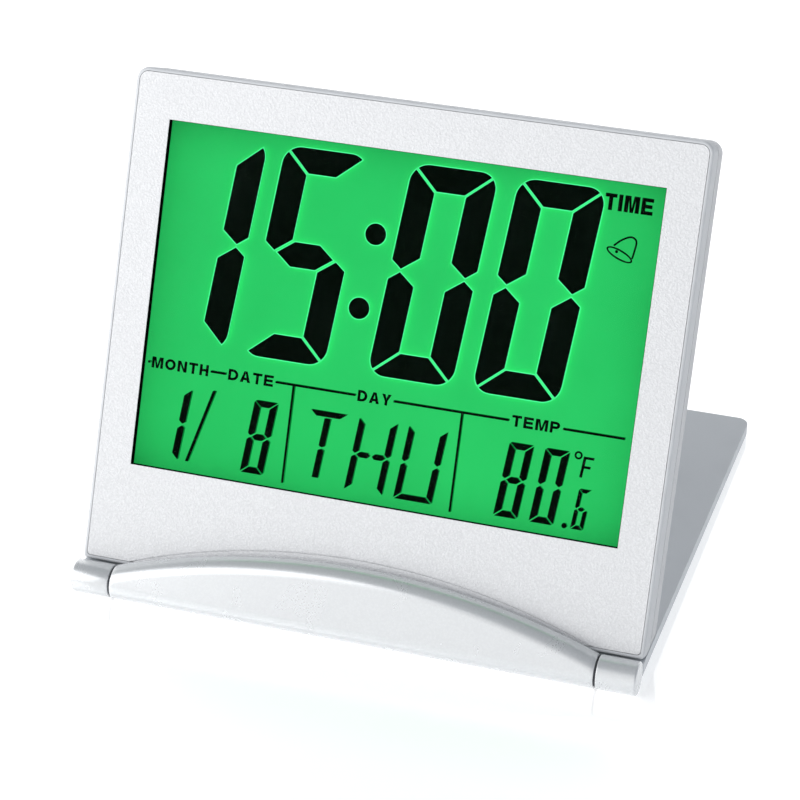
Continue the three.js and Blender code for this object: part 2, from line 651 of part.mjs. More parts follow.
// ---- Assembly ------------------------------------------------------------------------------
/** Everything that leans: the display body with its buttons, door and hinge knuckle. */
function clockBody() {
  const body = new THREE.Group();
  body.rotation.x = -LEAN;
  body.position.z = BARREL_R;
  body.add(
    piece("face_plate", cut(facePlate(), ...KNUCKLE_SCREW_XS.map((x) => knuckleScrewWay(x))), "silver_grain"),
    piece("front_case", frontCase(), "silver_smooth"),
    piece("rear_case", rearCase(), "silver_back"),
    piece("battery_door", batteryDoor(), "silver_back"),
    piece("hinge_knuckle", hingeKnuckle(), "silver_gloss"),
    ...displayPieces(),
    ...electronics(),
  );
  for (const [i, x] of buttonXs().entries()) {
    body.add(piece("button_" + BUTTON_NAMES[i], roundButton(x), "button_grey"));
  }
  body.add(piece("button_snooze_light", snoozeButton(), "button_grey"));
  for (const [i, [x, z]] of bossPoints().entries()) {
    body.add(piece("case_screw_" + (i + 1), caseScrew(x, z), "steel"));
  }
  for (const [side, label] of [[-1, "left"], [1, "right"]]) {
    body.add(piece("knuckle_screw_" + label, knuckleScrew(side * KNUCKLE_SCREW_XS[1]), "steel"));
    body.add(piece("hinge_pin_" + label, hingePin(side), "steel"));
    body.add(piece("hinge_washer_" + label, frictionWasher(side), "black"));
  }
  return body;
}

/** Cover, its end barrels and its pads, laid back as the stand. */
function cover() {
  const stand = new THREE.Group();
  stand.rotation.x = -COVER_TILT;
  stand.position.z = BARREL_R;
  stand.add(piece("cover_plate", coverPlate(), "silver_smooth"));
  stand.add(piece("cover_barrel_left", coverBarrel(-1), "silver_gloss"));
  stand.add(piece("cover_barrel_right", coverBarrel(1), "silver_gloss"));
  for (const [i, [x, y]] of padPoints().entries()) {
    const pad = padRod(x, y, PAD_R, -PAD_FOOT, PAD_RECESS - COVER_INNER - FIT);
    stand.add(piece("cover_pad_" + (i + 1), pad, "rubber"));
  }
  return stand;
}

const clock = new THREE.Group();
clock.add(clockBody(), cover());
clock.updateMatrixWorld(true);
const extent = new THREE.Box3().setFromObject(clock, true);
clock.position.y = -(extent.min.y + extent.max.y) / 2;

export default clock;
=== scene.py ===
"""Folding desk alarm clock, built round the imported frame.

The clock body leans back on its hinge and the cover lies behind it as the stand. Sizes are in
millimetres where a class keeps them, and every mesh ends up in metres in the frame's own axes.
"""

import json
import logging
import math
from collections.abc import Callable, Iterator, Sequence
from contextlib import contextmanager
from dataclasses import dataclass, field
from enum import Enum

import bmesh
import bpy
from mathutils import Matrix, Vector


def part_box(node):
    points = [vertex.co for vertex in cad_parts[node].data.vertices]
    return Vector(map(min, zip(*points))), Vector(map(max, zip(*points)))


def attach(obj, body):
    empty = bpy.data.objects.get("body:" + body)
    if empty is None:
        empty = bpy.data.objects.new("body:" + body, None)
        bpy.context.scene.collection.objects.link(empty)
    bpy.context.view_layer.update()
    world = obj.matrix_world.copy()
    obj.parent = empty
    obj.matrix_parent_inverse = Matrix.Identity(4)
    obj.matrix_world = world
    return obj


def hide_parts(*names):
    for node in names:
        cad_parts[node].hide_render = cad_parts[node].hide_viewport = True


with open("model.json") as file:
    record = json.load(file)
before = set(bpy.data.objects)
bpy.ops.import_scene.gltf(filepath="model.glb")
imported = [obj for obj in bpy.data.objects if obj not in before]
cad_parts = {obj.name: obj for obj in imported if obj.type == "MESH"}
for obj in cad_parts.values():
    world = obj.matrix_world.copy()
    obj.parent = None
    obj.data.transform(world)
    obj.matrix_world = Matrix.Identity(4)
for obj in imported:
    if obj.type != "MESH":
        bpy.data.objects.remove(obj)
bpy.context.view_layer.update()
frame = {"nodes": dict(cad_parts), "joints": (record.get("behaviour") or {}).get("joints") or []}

MM = 0.001
LOG = logging.getLogger("clock")

Point = tuple[float, float]
Loop = list[Point]


# ---- The two leaning frames --------------------------------------------------------------------
@dataclass(frozen=True)
class Pivot:
    """A frame that turns about the hinge axis, with y to the rear and z along the body."""

    place: Vector
    lean: float

    @property
    def matrix(self) -> Matrix:
        """The frame's matrix in the scene."""
        return Matrix.Translation(self.place) @ Matrix.Rotation(-self.lean, 4, "X")

    def box(self, node: str) -> tuple[Vector, Vector]:
        """Corners of a CAD node in this frame.

        Args:
            node: The CAD node's name.

        Returns:
            The lowest and the highest corner, in millimetres.
        """
        inward = self.matrix.inverted()
        points = [inward @ vertex.co for vertex in frame["nodes"][node].data.vertices]
        low = Vector(min(p[axis] for p in points) for axis in range(3))
        high = Vector(max(p[axis] for p in points) for axis in range(3))
        return low / MM, high / MM


def joint(name: str) -> dict:
    """The record's joint of that name."""
    return next(row for row in frame["joints"] if row["name"] == name)


COVER_FOOT = 1.9  # of a pad's foot under the hinge axis, square to the cover


def find_pivots() -> tuple[Pivot, Pivot]:
    """Reads the hinge axis and the two leans from the frame.

    Returns:
        The clock body's frame and the cover's frame.
    """
    hinge = Vector(joint("cover_hinge")["pos_m"])
    rearward = joint("battery_door_lift")["axis"]
    body_lean = math.atan2(-rearward[2], rearward[1])
    far_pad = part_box("cover_pad_3")[1] - hinge
    reach = math.hypot(far_pad.y, hinge.z)
    cover_lean = math.asin(hinge.z / reach) - math.asin(COVER_FOOT * MM / reach)
    return Pivot(hinge, body_lean), Pivot(hinge, cover_lean)


# ---- Hand tools --------------------------------------------------------------------------------
def only(obj: bpy.types.Object) -> None:
    """Leaves one object selected and active."""
    bpy.ops.object.select_all(action="DESELECT")
    obj.select_set(True)
    bpy.context.view_layer.objects.active = obj


@contextmanager
def editing(obj: bpy.types.Object) -> Iterator[None]:
    """Edit mode on one object, with nothing selected at the start."""
    only(obj)
    bpy.ops.object.mode_set(mode="EDIT")
    bpy.ops.mesh.select_all(action="DESELECT")
    yield
    bpy.ops.object.mode_set(mode="OBJECT")


def pick_edges(obj: bpy.types.Object, test: Callable[[Vector, Vector], bool]) -> None:
    """Selects the edges whose two ends pass a test, in edit mode."""
    bpy.ops.mesh.select_mode(type="EDGE")
    mesh = bmesh.from_edit_mesh(obj.data)
    for edge in mesh.edges:
        edge.select_set(test(edge.verts[0].co / MM, edge.verts[1].co / MM))
    bmesh.update_edit_mesh(obj.data)


def pick_faces(obj: bpy.types.Object, test: Callable[[Vector, Vector], bool]) -> None:
    """Selects the faces whose centre and normal pass a test, in edit mode."""
    bpy.ops.mesh.select_mode(type="FACE")
    mesh = bmesh.from_edit_mesh(obj.data)
    for face in mesh.faces:
        face.select_set(test(face.calc_center_median() / MM, face.normal))
    bmesh.update_edit_mesh(obj.data)


def pick_points(obj: bpy.types.Object, test: Callable[[Vector], bool]) -> None:
    """Selects the vertices that pass a test, in edit mode."""
    bpy.ops.mesh.select_mode(type="VERT")
    mesh = bmesh.from_edit_mesh(obj.data)
    for vertex in mesh.verts:
        vertex.select_set(test(vertex.co / MM))
    bmesh.update_edit_mesh(obj.data)


def block(name: str, low: Sequence[float], high: Sequence[float]) -> bpy.types.Object:
    """A block between two corners, in millimetres."""
    first, last = Vector(low) * MM, Vector(high) * MM
    bpy.ops.object.select_all(action="DESELECT")
    bpy.ops.mesh.primitive_cube_add(size=1.0, location=(first + last) / 2)
    obj = bpy.context.active_object
    obj.name = name
    obj.scale = last - first
    bpy.ops.object.transform_apply(location=True, rotation=True, scale=True)
    return obj


class Axis(Enum):
    """Direction that a rod lies along, with the turn that lays it so."""

    X = (0.0, math.pi / 2, 0.0)
    Y = (math.pi / 2, 0.0, 0.0)
    Z = (0.0, 0.0, 0.0)


def rod(
    name: str, centre: Sequence[float], radius: float, length: float, axis: Axis, sides: int = 64
) -> bpy.types.Object:
    """A round rod.

    Args:
        name: The object's name.
        centre: Its middle, in millimetres.
        radius: Its radius, in millimetres.
        length: Its length, in millimetres.
        axis: The direction that it lies along.
        sides: How many sides stand for the round.

    Returns:
        The rod, with its place in its mesh.
    """
    bpy.ops.object.select_all(action="DESELECT")
    bpy.ops.mesh.primitive_cylinder_add(
        vertices=sides,
        radius=radius * MM,
        depth=length * MM,
        location=Vector(centre) * MM,
        rotation=axis.value,
    )
    obj = bpy.context.active_object
    obj.name = name
    bpy.ops.object.transform_apply(location=True, rotation=True, scale=True)
    return obj


def along(start: Vector, end: Vector, axis: int) -> bool:
    """True if an edge runs along one axis."""
    line = end - start
    return abs(line[axis]) > 0.999 * line.length


def round_corners(obj: bpy.types.Object, axis: int, radius: float, segments: int = 10) -> None:
    """Rounds the corners of a block's outline, seen along an axis."""
    with editing(obj):
        pick_edges(obj, lambda start, end: along(start, end, axis))
        bpy.ops.mesh.bevel(offset=radius * MM, segments=segments, affect="EDGES")


def combine(obj: bpy.types.Object, how: str, *tools: bpy.types.Object) -> bpy.types.Object:
    """Cuts, joins or meets an object with others, which are used up.

    Args:
        obj: The object that stays.
        how: DIFFERENCE, UNION or INTERSECT.
        tools: The other objects, taken in turn.

    Returns:
        The same object.
    """
    for tool in tools:
        only(obj)
        step = obj.modifiers.new("cut", "BOOLEAN")
        step.operation = how
        step.solver = "EXACT"
        step.object = tool
        bpy.ops.object.modifier_apply(modifier=step.name)
        bpy.data.objects.remove(tool)
    return obj


def cut(obj: bpy.types.Object, *tools: bpy.types.Object) -> bpy.types.Object:
    """Takes other objects away from one."""
    return combine(obj, "DIFFERENCE", *tools)


def soften(obj: bpy.types.Object, width: float, segments: int = 2, limit: float = 40.0) -> None:
    """Rounds every edge sharper than a limit with a bevel that is applied."""
    only(obj)
    step = obj.modifiers.new("soften", "BEVEL")
    step.width = width * MM
    step.segments = segments
    step.limit_method = "ANGLE"
    step.angle_limit = math.radians(limit)
    step.use_clamp_overlap = True
    step.harden_normals = False
    bpy.ops.object.modifier_apply(modifier=step.name)


def trim_level(obj: bpy.types.Object, pivot: Pivot, height: float) -> None:
    """Cuts away what lies under a level plane, in a leaning frame.

    Args:
        obj: The object, still in the leaning frame.
        pivot: That frame.
        height: The plane's height above the hinge axis, in millimetres.
    """
    upward = Vector((0.0, -math.sin(pivot.lean), math.cos(pivot.lean)))
    with editing(obj):
        bpy.ops.mesh.select_all(action="SELECT")
        bpy.ops.mesh.bisect(
            plane_co=upward * height * MM, plane_no=upward, use_fill=True, clear_inner=True
        )


def spread_normals(obj: bpy.types.Object, angle: float = 32.0) -> None:
    """Smooth shading that keeps flat faces flat and sharp edges sharp."""
    only(obj)
    bpy.ops.object.shade_smooth_by_angle(angle=math.radians(angle))
    step = obj.modifiers.new("normals", "WEIGHTED_NORMAL")
    step.keep_sharp = True
    bpy.ops.object.modifier_apply(modifier=step.name)


def weld(obj: bpy.types.Object, gap: float) -> None:
    """Joins points closer than a gap in millimetres and turns every face outwards."""
    with editing(obj):
        bpy.ops.mesh.select_all(action="SELECT")
        bpy.ops.mesh.remove_doubles(threshold=gap * MM)
        bpy.ops.mesh.normals_make_consistent(inside=False)


def mark_edges(obj: bpy.types.Object) -> None:
    """Marks the rounded edges, where paint rubs, on an object still in its own frame."""
    flag = obj.data.attributes.new("edge_rub", "FLOAT", "FACE")
    for face in obj.data.polygons:
        slanted = max(abs(part) for part in face.normal) < 0.995
        flag.data[face.index].value = 1.0 if slanted else 0.0


def copy_of(obj: bpy.types.Object, name: str, shift: Sequence[float]) -> bpy.types.Object:
    """A copy with its own mesh, moved by a number of millimetres."""
    made = obj.copy()
    made.data = obj.data.copy()
    made.name = name
    made.data.name = name
    made.data.transform(Matrix.Translation(Vector(shift) * MM))
    bpy.context.scene.collection.objects.link(made)
    return made


def place(
    obj: bpy.types.Object,
    pivot: Pivot,
    body: str,
    finish: "Finish",
    stands_for: Sequence[str] = (),
) -> None:
    """Sets a finished piece in the scene, hangs it on its body and hides the CAD nodes that it
    replaces.

    Args:
        obj: The piece, still in its leaning frame.
        pivot: That frame.
        body: The CAD body that it rides on.
        finish: What it is finished in.
        stands_for: The CAD nodes that it replaces.
    """
    only(obj)
    obj.matrix_world = pivot.matrix
    bpy.ops.object.transform_apply(location=True, rotation=True, scale=True)
    obj.data.name = obj.name
    obj.data.materials.clear()
    obj.data.materials.append(finish.material())
    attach(obj, body)
    if stands_for:
        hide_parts(*stands_for)
    LOG.info("%s: %d faces, on %s, %s", obj.name, len(obj.data.polygons), body, finish.name)


# ---- Shader graphs -----------------------------------------------------------------------------
class Graph:
    """A node tree that is filled one node at a time."""

    def __init__(self, tree: bpy.types.NodeTree) -> None:
        """Keeps the tree."""
        self.tree = tree

    def add(self, kind: str, options: dict | None = None, **inputs: object) -> bpy.types.Node:
        """Adds a node.

        Args:
            kind: The node's type name, without the ShaderNode in front.
            options: The node's own properties.
            inputs: A value or an output socket for each input, with _ for a space.

        Returns:
            The node.
        """
        node = self.tree.nodes.new("ShaderNode" + kind)
        for key, value in (options or {}).items():
            setattr(node, key, value)
        for key, value in inputs.items():
            self.feed(node, key.replace("_", " "), value)
        return node

    def feed(self, node: bpy.types.Node, name: str | int, value: object) -> None:
        """Links an output to a node's input, or sets the input's own value."""
        socket = node.inputs[name]
        if isinstance(value, bpy.types.NodeSocket):
            self.tree.links.new(value, socket)
        else:
            socket.default_value = value

    def noise(self, vector: object, scale: object, factor: float, detail: float) -> bpy.types.Node:
        """Adds noise at a multiple of a scale."""
        scaled = self.math("MULTIPLY", scale, factor)
        return self.add("TexNoise", Vector=vector, Scale=scaled, Detail=detail)

    def math(self, operation: str, first: object, second: object = 0.0) -> bpy.types.NodeSocket:
        """A math node's result."""
        node = self.add("Math", {"operation": operation})
        self.feed(node, 0, first)
        self.feed(node, 1, second)
        return node.outputs[0]

    def ranged(
        self, value: object, low: float, high: float, to_low: float, to_high: float
    ) -> bpy.types.NodeSocket:
        """A value carried from one range to another and kept inside it."""
        node = self.add("MapRange", {"clamp": True})
        for name, number in zip(
            ("Value", "From Min", "From Max", "To Min", "To Max"),
            (value, low, high, to_low, to_high),
        ):
            self.feed(node, name, number)
        return node.outputs["Result"]

    def blend(self, factor: object, first: object, second: object) -> bpy.types.NodeSocket:
        """One colour turning into another."""
        node = self.add("Mix", {"data_type": "RGBA"})
        self.feed(node, 0, factor)
        self.feed(node, 6, first)
        self.feed(node, 7, second)
        return node.outputs[2]


class Effect(Enum):
    """Surface effects that several finishes share, each a node group."""

    GRAIN = "moulded_grain"
    FLAKE = "paint_flake"
    HANDLING = "handling_marks"
    RUB = "edge_rub"
    BRUSH = "brush_lines"

    def tree(self) -> bpy.types.NodeTree:
        """The effect's node group, built the first time that it is asked for."""
        if self.value in bpy.data.node_groups:
            return bpy.data.node_groups[self.value]
        tree = bpy.data.node_groups.new(self.value, "ShaderNodeTree")
        builders = {
            Effect.GRAIN: build_grain,
            Effect.FLAKE: build_flake,
            Effect.HANDLING: build_handling,
            Effect.RUB: build_rub,
            Effect.BRUSH: build_brush,
        }
        builders[self](tree)
        return tree


def sockets(
    tree: bpy.types.NodeTree, inputs: dict[str, float | None], outputs: Sequence[str]
) -> tuple[Graph, bpy.types.Node, bpy.types.Node]:
    """Gives a group its named inputs and outputs.

    Args:
        tree: The group.
        inputs: Each input's default value, or None for a vector.
        outputs: The names of its value outputs.

    Returns:
        The group's graph, its input node and its output node.
    """
    for name, value in inputs.items():
        kind = "NodeSocketVector" if value is None else "NodeSocketFloat"
        made = tree.interface.new_socket(name, in_out="INPUT", socket_type=kind)
        if value is not None:
            made.default_value = value
    for name in outputs:
        tree.interface.new_socket(name, in_out="OUTPUT", socket_type="NodeSocketFloat")
    graph = Graph(tree)
    entry = tree.nodes.new("NodeGroupInput")
    leave = tree.nodes.new("NodeGroupOutput")
    return graph, entry, leave


def build_grain(tree: bpy.types.NodeTree) -> None:
    """Fine leather-like spark grain: pebbles of uneven size with soft valleys, and a mask of the
    valleys for painted shade.
    """
    graph, entry, leave = sockets(tree, {"Vector": None, "Scale": 1700.0}, ("Height", "Valley Shade"))
    vector, scale = entry.outputs["Vector"], entry.outputs["Scale"]
    sway = graph.noise(vector, scale, 0.6, 2.0)
    warp = graph.add("VectorMath", {"operation": "MULTIPLY_ADD"})
    graph.feed(warp, 0, sway.outputs["Color"])
    graph.feed(warp, 1, (0.0005, 0.0005, 0.0005))
    graph.feed(warp, 2, vector)
    pebble = graph.add(
        "TexVoronoi", {"feature": "SMOOTH_F1"}, Vector=warp.outputs[0], Scale=scale, Smoothness=0.6
    )
    fine = graph.noise(vector, scale, 1.9, 3.0)
    dome = graph.ranged(pebble.outputs["Distance"], 0.0, 0.75, 1.0, 0.0)
    fine_part = graph.math("MULTIPLY", fine.outputs["Fac"], 0.7)
    total = graph.math("ADD", graph.math("MULTIPLY", dome, 0.6), fine_part)
    graph.feed(leave, "Height", total)
    # Mask for painted shade, highest in the valleys of the grain.
    valley_shade = graph.ranged(total, 0.42, 0.95, 1.0, 0.0)
    graph.feed(leave, "Valley Shade", valley_shade)


def build_flake(tree: bpy.types.NodeTree) -> None:
    """Tone and sparkle of metal flake in silver paint."""
    graph, entry, leave = sockets(tree, {"Vector": None, "Scale": 4200.0}, ("Tone", "Sparkle"))
    vector, scale = entry.outputs["Vector"], entry.outputs["Scale"]
    cells = graph.add("TexVoronoi", {"feature": "F1"}, Vector=vector, Scale=scale)
    split = graph.add("SeparateColor", Color=cells.outputs["Color"])
    cloud = graph.noise(vector, scale, 0.3, 3.0)
    tone = graph.math("MULTIPLY", split.outputs[0], 0.55)
    tone = graph.math("ADD", tone, graph.math("MULTIPLY", cloud.outputs["Fac"], 0.45))
    graph.feed(leave, "Tone", tone)
    sparkle = graph.ranged(split.outputs[1], 0.86, 1.0, 0.0, 1.0)
    graph.feed(leave, "Sparkle", sparkle)


def build_handling(tree: bpy.types.NodeTree) -> None:
    """Faint cloudy marks from handling, for gloss and tone."""
    graph, entry, leave = sockets(tree, {"Vector": None, "Scale": 28.0}, ("Cloud", "Smear"))
    vector, scale = entry.outputs["Vector"], entry.outputs["Scale"]
    cloud = graph.add("TexNoise", Vector=vector, Scale=scale, Detail=4.0, Roughness=0.55)
    smear = graph.noise(vector, scale, 6.0, 2.0)
    graph.feed(smear, "Distortion", 0.2)
    graph.feed(leave, "Cloud", graph.ranged(cloud.outputs["Fac"], 0.3, 0.7, 0.0, 1.0))
    graph.feed(leave, "Smear", graph.ranged(smear.outputs["Fac"], 0.5, 0.8, 0.0, 1.0))


def build_rub(tree: bpy.types.NodeTree) -> None:
    """Where paint has rubbed thin along the rounded edges that a piece marks."""
    graph, entry, leave = sockets(tree, {"Vector": None, "Scale": 260.0, "Amount": 0.5}, ("Mask",))
    flag = graph.add("Attribute", {"attribute_name": "edge_rub"})
    patch = graph.add(
        "TexNoise", Vector=entry.outputs["Vector"], Scale=entry.outputs["Scale"], Detail=4.0
    )
    broken = graph.ranged(patch.outputs["Fac"], 0.38, 0.62, 0.15, 1.0)
    mask = graph.math("MULTIPLY", flag.outputs["Fac"], broken)
    mask = graph.math("MULTIPLY", mask, entry.outputs["Amount"])
    graph.feed(leave, "Mask", mask)


def build_brush(tree: bpy.types.NodeTree) -> None:
    """Fine parallel lines of rolled or turned metal, across the vector's first axis."""
    graph, entry, leave = sockets(tree, {"Vector": None, "Scale": 900.0}, ("Height",))
    stretch = graph.add("VectorMath", {"operation": "MULTIPLY"})
    graph.feed(stretch, 0, entry.outputs["Vector"])
    graph.feed(stretch, 1, (1.0, 0.05, 0.05))
    lines = graph.add(
        "TexNoise", Vector=stretch.outputs[0], Scale=entry.outputs["Scale"], Detail=4.0
    )
    graph.feed(leave, "Height", lines.outputs["Fac"])


# ---- Finishes ----------------------------------------------------------------------------------
Colour = tuple[float, float, float]


def rgba(colour: Colour, factor: float = 1.0) -> tuple[float, float, float, float]:
    """A colour for a socket, lightened or darkened by a factor."""
    return (*(min(part * factor, 1.0) for part in colour), 1.0)


@dataclass(frozen=True)
class Finish:
    """What a piece is finished in: the record's slot and a material of its own name."""

    name: str
    slot: str
    colour: Colour
    roughness: float = 0.5
    metallic: float = 0.0
    specular: float = 0.5

    def material(self) -> bpy.types.Material:
        """The finish's material, made the first time that it is asked for."""
        if self.name in bpy.data.materials:
            return bpy.data.materials[self.name]
        made = bpy.data.materials.new(self.name)
        made.use_nodes = True
        made.diffuse_color = rgba(self.colour)
        graph = Graph(made.node_tree)
        shader = made.node_tree.nodes["Principled BSDF"]
        graph.feed(shader, "Roughness", self.roughness)
        graph.feed(shader, "Metallic", self.metallic)
        graph.feed(shader, "Specular IOR Level", self.specular)
        where = graph.add("TexCoord").outputs["Object"]
        self.dress(graph, shader, where)
        return made

    def effect(
        self, graph: Graph, effect: Effect, where: bpy.types.NodeSocket, **values: float
    ) -> bpy.types.Node:
        """Places a shared effect in the material.

        Args:
            graph: The material's graph.
            effect: Which effect.
            where: The coordinates that it reads.
            values: Its other inputs.

        Returns:
            The group node.
        """
        node = graph.add("Group", {"node_tree": effect.tree()})
        graph.feed(node, "Vector", where)
        for key, value in values.items():
            graph.feed(node, key, value)
        return node

    def handle(
        self, graph: Graph, shader: bpy.types.Node, hands: bpy.types.Node, change: float
    ) -> None:
        """Changes the roughness where hands have smeared the surface."""
        low, high = self.roughness, self.roughness + change
        smeared = graph.ranged(hands.outputs["Smear"], 0.0, 1.0, low, high)
        graph.feed(shader, "Roughness", smeared)

    def emboss(
        self, graph: Graph, shader: bpy.types.Node, height: bpy.types.NodeSocket, depth: float
    ) -> None:
        """Bumps the surface by a depth in millimetres."""
        bump = graph.add("Bump", Height=height, Distance=depth * MM, Strength=1.0)
        graph.feed(shader, "Normal", bump.outputs["Normal"])

    def dress(self, graph: Graph, shader: bpy.types.Node, where: bpy.types.NodeSocket) -> None:
        """Fills the shader in. Each kind of finish has its own way."""
        raise NotImplementedError


@dataclass(frozen=True)
class SilverPaint(Finish):
    """Silver paint over moulded plastic, grained or smooth."""

    grain: float = 0.004  # depth of the moulded grain, millimetres
    grain_scale: float = 2600.0
    # Painted shade: how far the grain's valleys are darkened in colour.
    valley_shade: float = 0.0  # how much darker the valleys are
    flake: float = 0.06  # spread of tone between flakes
    haze: float = 0.08  # spread of roughness from handling
    rub: float = 0.35
    coat: float = 0.0

    def dress(self, graph: Graph, shader: bpy.types.Node, where: bpy.types.NodeSocket) -> None:
        """Mixes flake, grain, handling, painted shade in the grain's valleys and rubbed edges."""
        flake = self.effect(graph, Effect.FLAKE, where)
        hands = self.effect(graph, Effect.HANDLING, where)
        rub = self.effect(graph, Effect.RUB, where, Amount=self.rub)
        tone = graph.math(
            "ADD", flake.outputs["Tone"], graph.math("MULTIPLY", hands.outputs["Cloud"], 0.3)
        )
        dark, light = rgba(self.colour, 1 - self.flake), rgba(self.colour, 1 + self.flake)
        colour = graph.blend(graph.ranged(tone, 0.25, 1.0, 0.0, 1.0), dark, light)
        grain = self.effect(graph, Effect.GRAIN, where, Scale=self.grain_scale)
        # Painted shade: the grain's valleys darkened in colour.
        shade = graph.math("MULTIPLY", grain.outputs["Valley Shade"], self.valley_shade)
        colour = graph.blend(shade, colour, rgba(self.colour, 0.55))
        colour = graph.blend(rub.outputs["Mask"], colour, rgba(self.colour, 1.18))
        graph.feed(shader, "Base Color", colour)
        rough = graph.ranged(
            hands.outputs["Smear"], 0.0, 1.0, self.roughness, self.roughness + self.haze
        )
        rough = graph.math(
            "SUBTRACT", rough, graph.math("MULTIPLY", flake.outputs["Sparkle"], 0.03)
        )
        graph.feed(shader, "Roughness", rough)
        self.emboss(graph, shader, grain.outputs["Height"], self.grain)
        graph.feed(shader, "Coat Weight", self.coat)
        graph.feed(shader, "Coat Roughness", 0.08)


@dataclass(frozen=True)
class ClearPlate(Finish):
    """Clear pane seen through, with a faint film of its own colour."""

    veil: float = 0.05

    def dress(self, graph: Graph, shader: bpy.types.Node, where: bpy.types.NodeSocket) -> None:
        """Faint cloud in the veil, and a smooth gloss."""
        hands = self.effect(graph, Effect.HANDLING, where, Scale=40.0)
        graph.feed(
            shader,
            "Base Color",
            graph.blend(hands.outputs["Cloud"], rgba(self.colour), rgba(self.colour, 0.94)),
        )
        graph.feed(
            shader,
            "Alpha",
            graph.ranged(hands.outputs["Smear"], 0.0, 1.0, self.veil, self.veil * 1.3),
        )
        self.handle(graph, shader, hands, 0.05)


@dataclass(frozen=True)
class LitFilm(Finish):
    """A lit green layer of the display, bright in its middle and dim at its edges. Its glow is
    partly the backlight and partly painted light, in place of the studio light that does not reach
    it through the panes.
    """

    centre: tuple[float, float, float] = (0.0, 0.0, 0.0)
    turn: float = 0.0
    half: Point = (50.0, 34.0)
    edge: Colour = (0.01, 0.3, 0.06)
    glow: float = 0.25

    def dress(self, graph: Graph, shader: bpy.types.Node, where: bpy.types.NodeSocket) -> None:
        """Dims the film towards its edges, with the light guide's faint cloudiness."""
        flat = graph.add("Mapping", {"vector_type": "TEXTURE"}, Vector=where)
        graph.feed(flat, "Location", self.centre)
        graph.feed(flat, "Rotation", (-self.turn, 0.0, 0.0))
        parts = graph.add("SeparateXYZ", Vector=flat.outputs[0])
        side = graph.math("ABSOLUTE", graph.math("DIVIDE", parts.outputs["X"], self.half[0] * MM))
        rise = graph.math("ABSOLUTE", graph.math("DIVIDE", parts.outputs["Z"], self.half[1] * MM))
        dim = graph.math("ADD", graph.math("POWER", side, 9.0), graph.math("POWER", rise, 9.0))
        cloud = self.effect(graph, Effect.HANDLING, where, Scale=55.0)
        speck = self.effect(graph, Effect.FLAKE, where, Scale=3200.0)
        dim = graph.math(
            "ADD",
            graph.math("MULTIPLY", dim, 0.4),
            graph.math("MULTIPLY", cloud.outputs["Cloud"], 0.14),
        )
        dim = graph.math("ADD", dim, graph.math("MULTIPLY", speck.outputs["Tone"], 0.12))
        colour = graph.blend(
            graph.ranged(dim, 0.0, 1.0, 0.0, 1.0), rgba(self.colour), rgba(self.edge)
        )
        graph.feed(shader, "Base Color", colour)
        # Painted light in part: the emission stands in for studio light on the film as well as the
        # backlight.
        graph.feed(shader, "Emission Color", colour)
        graph.feed(shader, "Emission Strength", self.glow)


@dataclass(frozen=True)
class Moulded(Finish):
    """Plain moulded plastic, resin or rubber with a fine tooth."""

    tooth: float = 0.006  # height of the tooth, millimetres
    tooth_scale: float = 2600.0
    spread: float = 0.12

    def dress(self, graph: Graph, shader: bpy.types.Node, where: bpy.types.NodeSocket) -> None:
        """Fine tooth, with painted shade in its valleys and a little cloud in colour and gloss."""
        grain = self.effect(graph, Effect.GRAIN, where, Scale=self.tooth_scale)
        hands = self.effect(graph, Effect.HANDLING, where, Scale=60.0)
        rub = self.effect(graph, Effect.RUB, where, Amount=0.3)
        # Painted shade in the tooth's valleys, mixed with a random cloud of tone.
        tone = graph.math("ADD", grain.outputs["Valley Shade"], hands.outputs["Cloud"])
        dark = rgba(self.colour, 1 - self.spread)
        colour = graph.blend(
            graph.ranged(tone, 0.2, 1.8, 0.0, 1.0), rgba(self.colour, 1 + self.spread), dark
        )
        colour = graph.blend(rub.outputs["Mask"], colour, rgba(self.colour, 1.5))
        graph.feed(shader, "Base Color", colour)
        self.handle(graph, shader, hands, -0.1)
        self.emboss(graph, shader, grain.outputs["Height"], self.tooth)


@dataclass(frozen=True)
class Metal(Finish):
    """Rolled or turned metal with fine lines and a dulled skin."""

    groove: float = 0.003  # depth of its fine lines, millimetres

    def dress(self, graph: Graph, shader: bpy.types.Node, where: bpy.types.NodeSocket) -> None:
        """Lines in the bump, tarnish in colour and gloss."""
        lines = self.effect(graph, Effect.BRUSH, where)
        hands = self.effect(graph, Effect.HANDLING, where, Scale=220.0)
        colour = graph.blend(hands.outputs["Cloud"], rgba(self.colour), rgba(self.colour, 0.78))
        graph.feed(shader, "Base Color", colour)
        self.handle(graph, shader, hands, 0.15)
        self.emboss(graph, shader, lines.outputs["Height"], self.groove)


@dataclass(frozen=True)
class BoardFinish(Finish):
    """Circuit board with copper tracks under a green coat."""

    track: Colour = (0.09, 0.34, 0.16)
    copper: float = 0.03  # how far the tracks stand up, millimetres

    def dress(self, graph: Graph, shader: bpy.types.Node, where: bpy.types.NodeSocket) -> None:
        """Square-cornered tracks, raised a little, over glass-fibre weave."""
        maze = graph.add(
            "TexVoronoi", {"feature": "F1", "distance": "CHEBYCHEV"}, Vector=where, Scale=330.0
        )
        weave = self.effect(graph, Effect.BRUSH, where, Scale=2400.0)
        mask = graph.ranged(maze.outputs["Distance"], 0.3, 0.34, 1.0, 0.0)
        colour = graph.blend(
            weave.outputs["Height"], rgba(self.colour, 0.85), rgba(self.colour, 1.15)
        )
        graph.feed(shader, "Base Color", graph.blend(mask, colour, rgba(self.track)))
        graph.feed(
            shader, "Roughness", graph.ranged(mask, 0.0, 1.0, self.roughness, self.roughness - 0.15)
        )
        self.emboss(graph, shader, mask, self.copper)


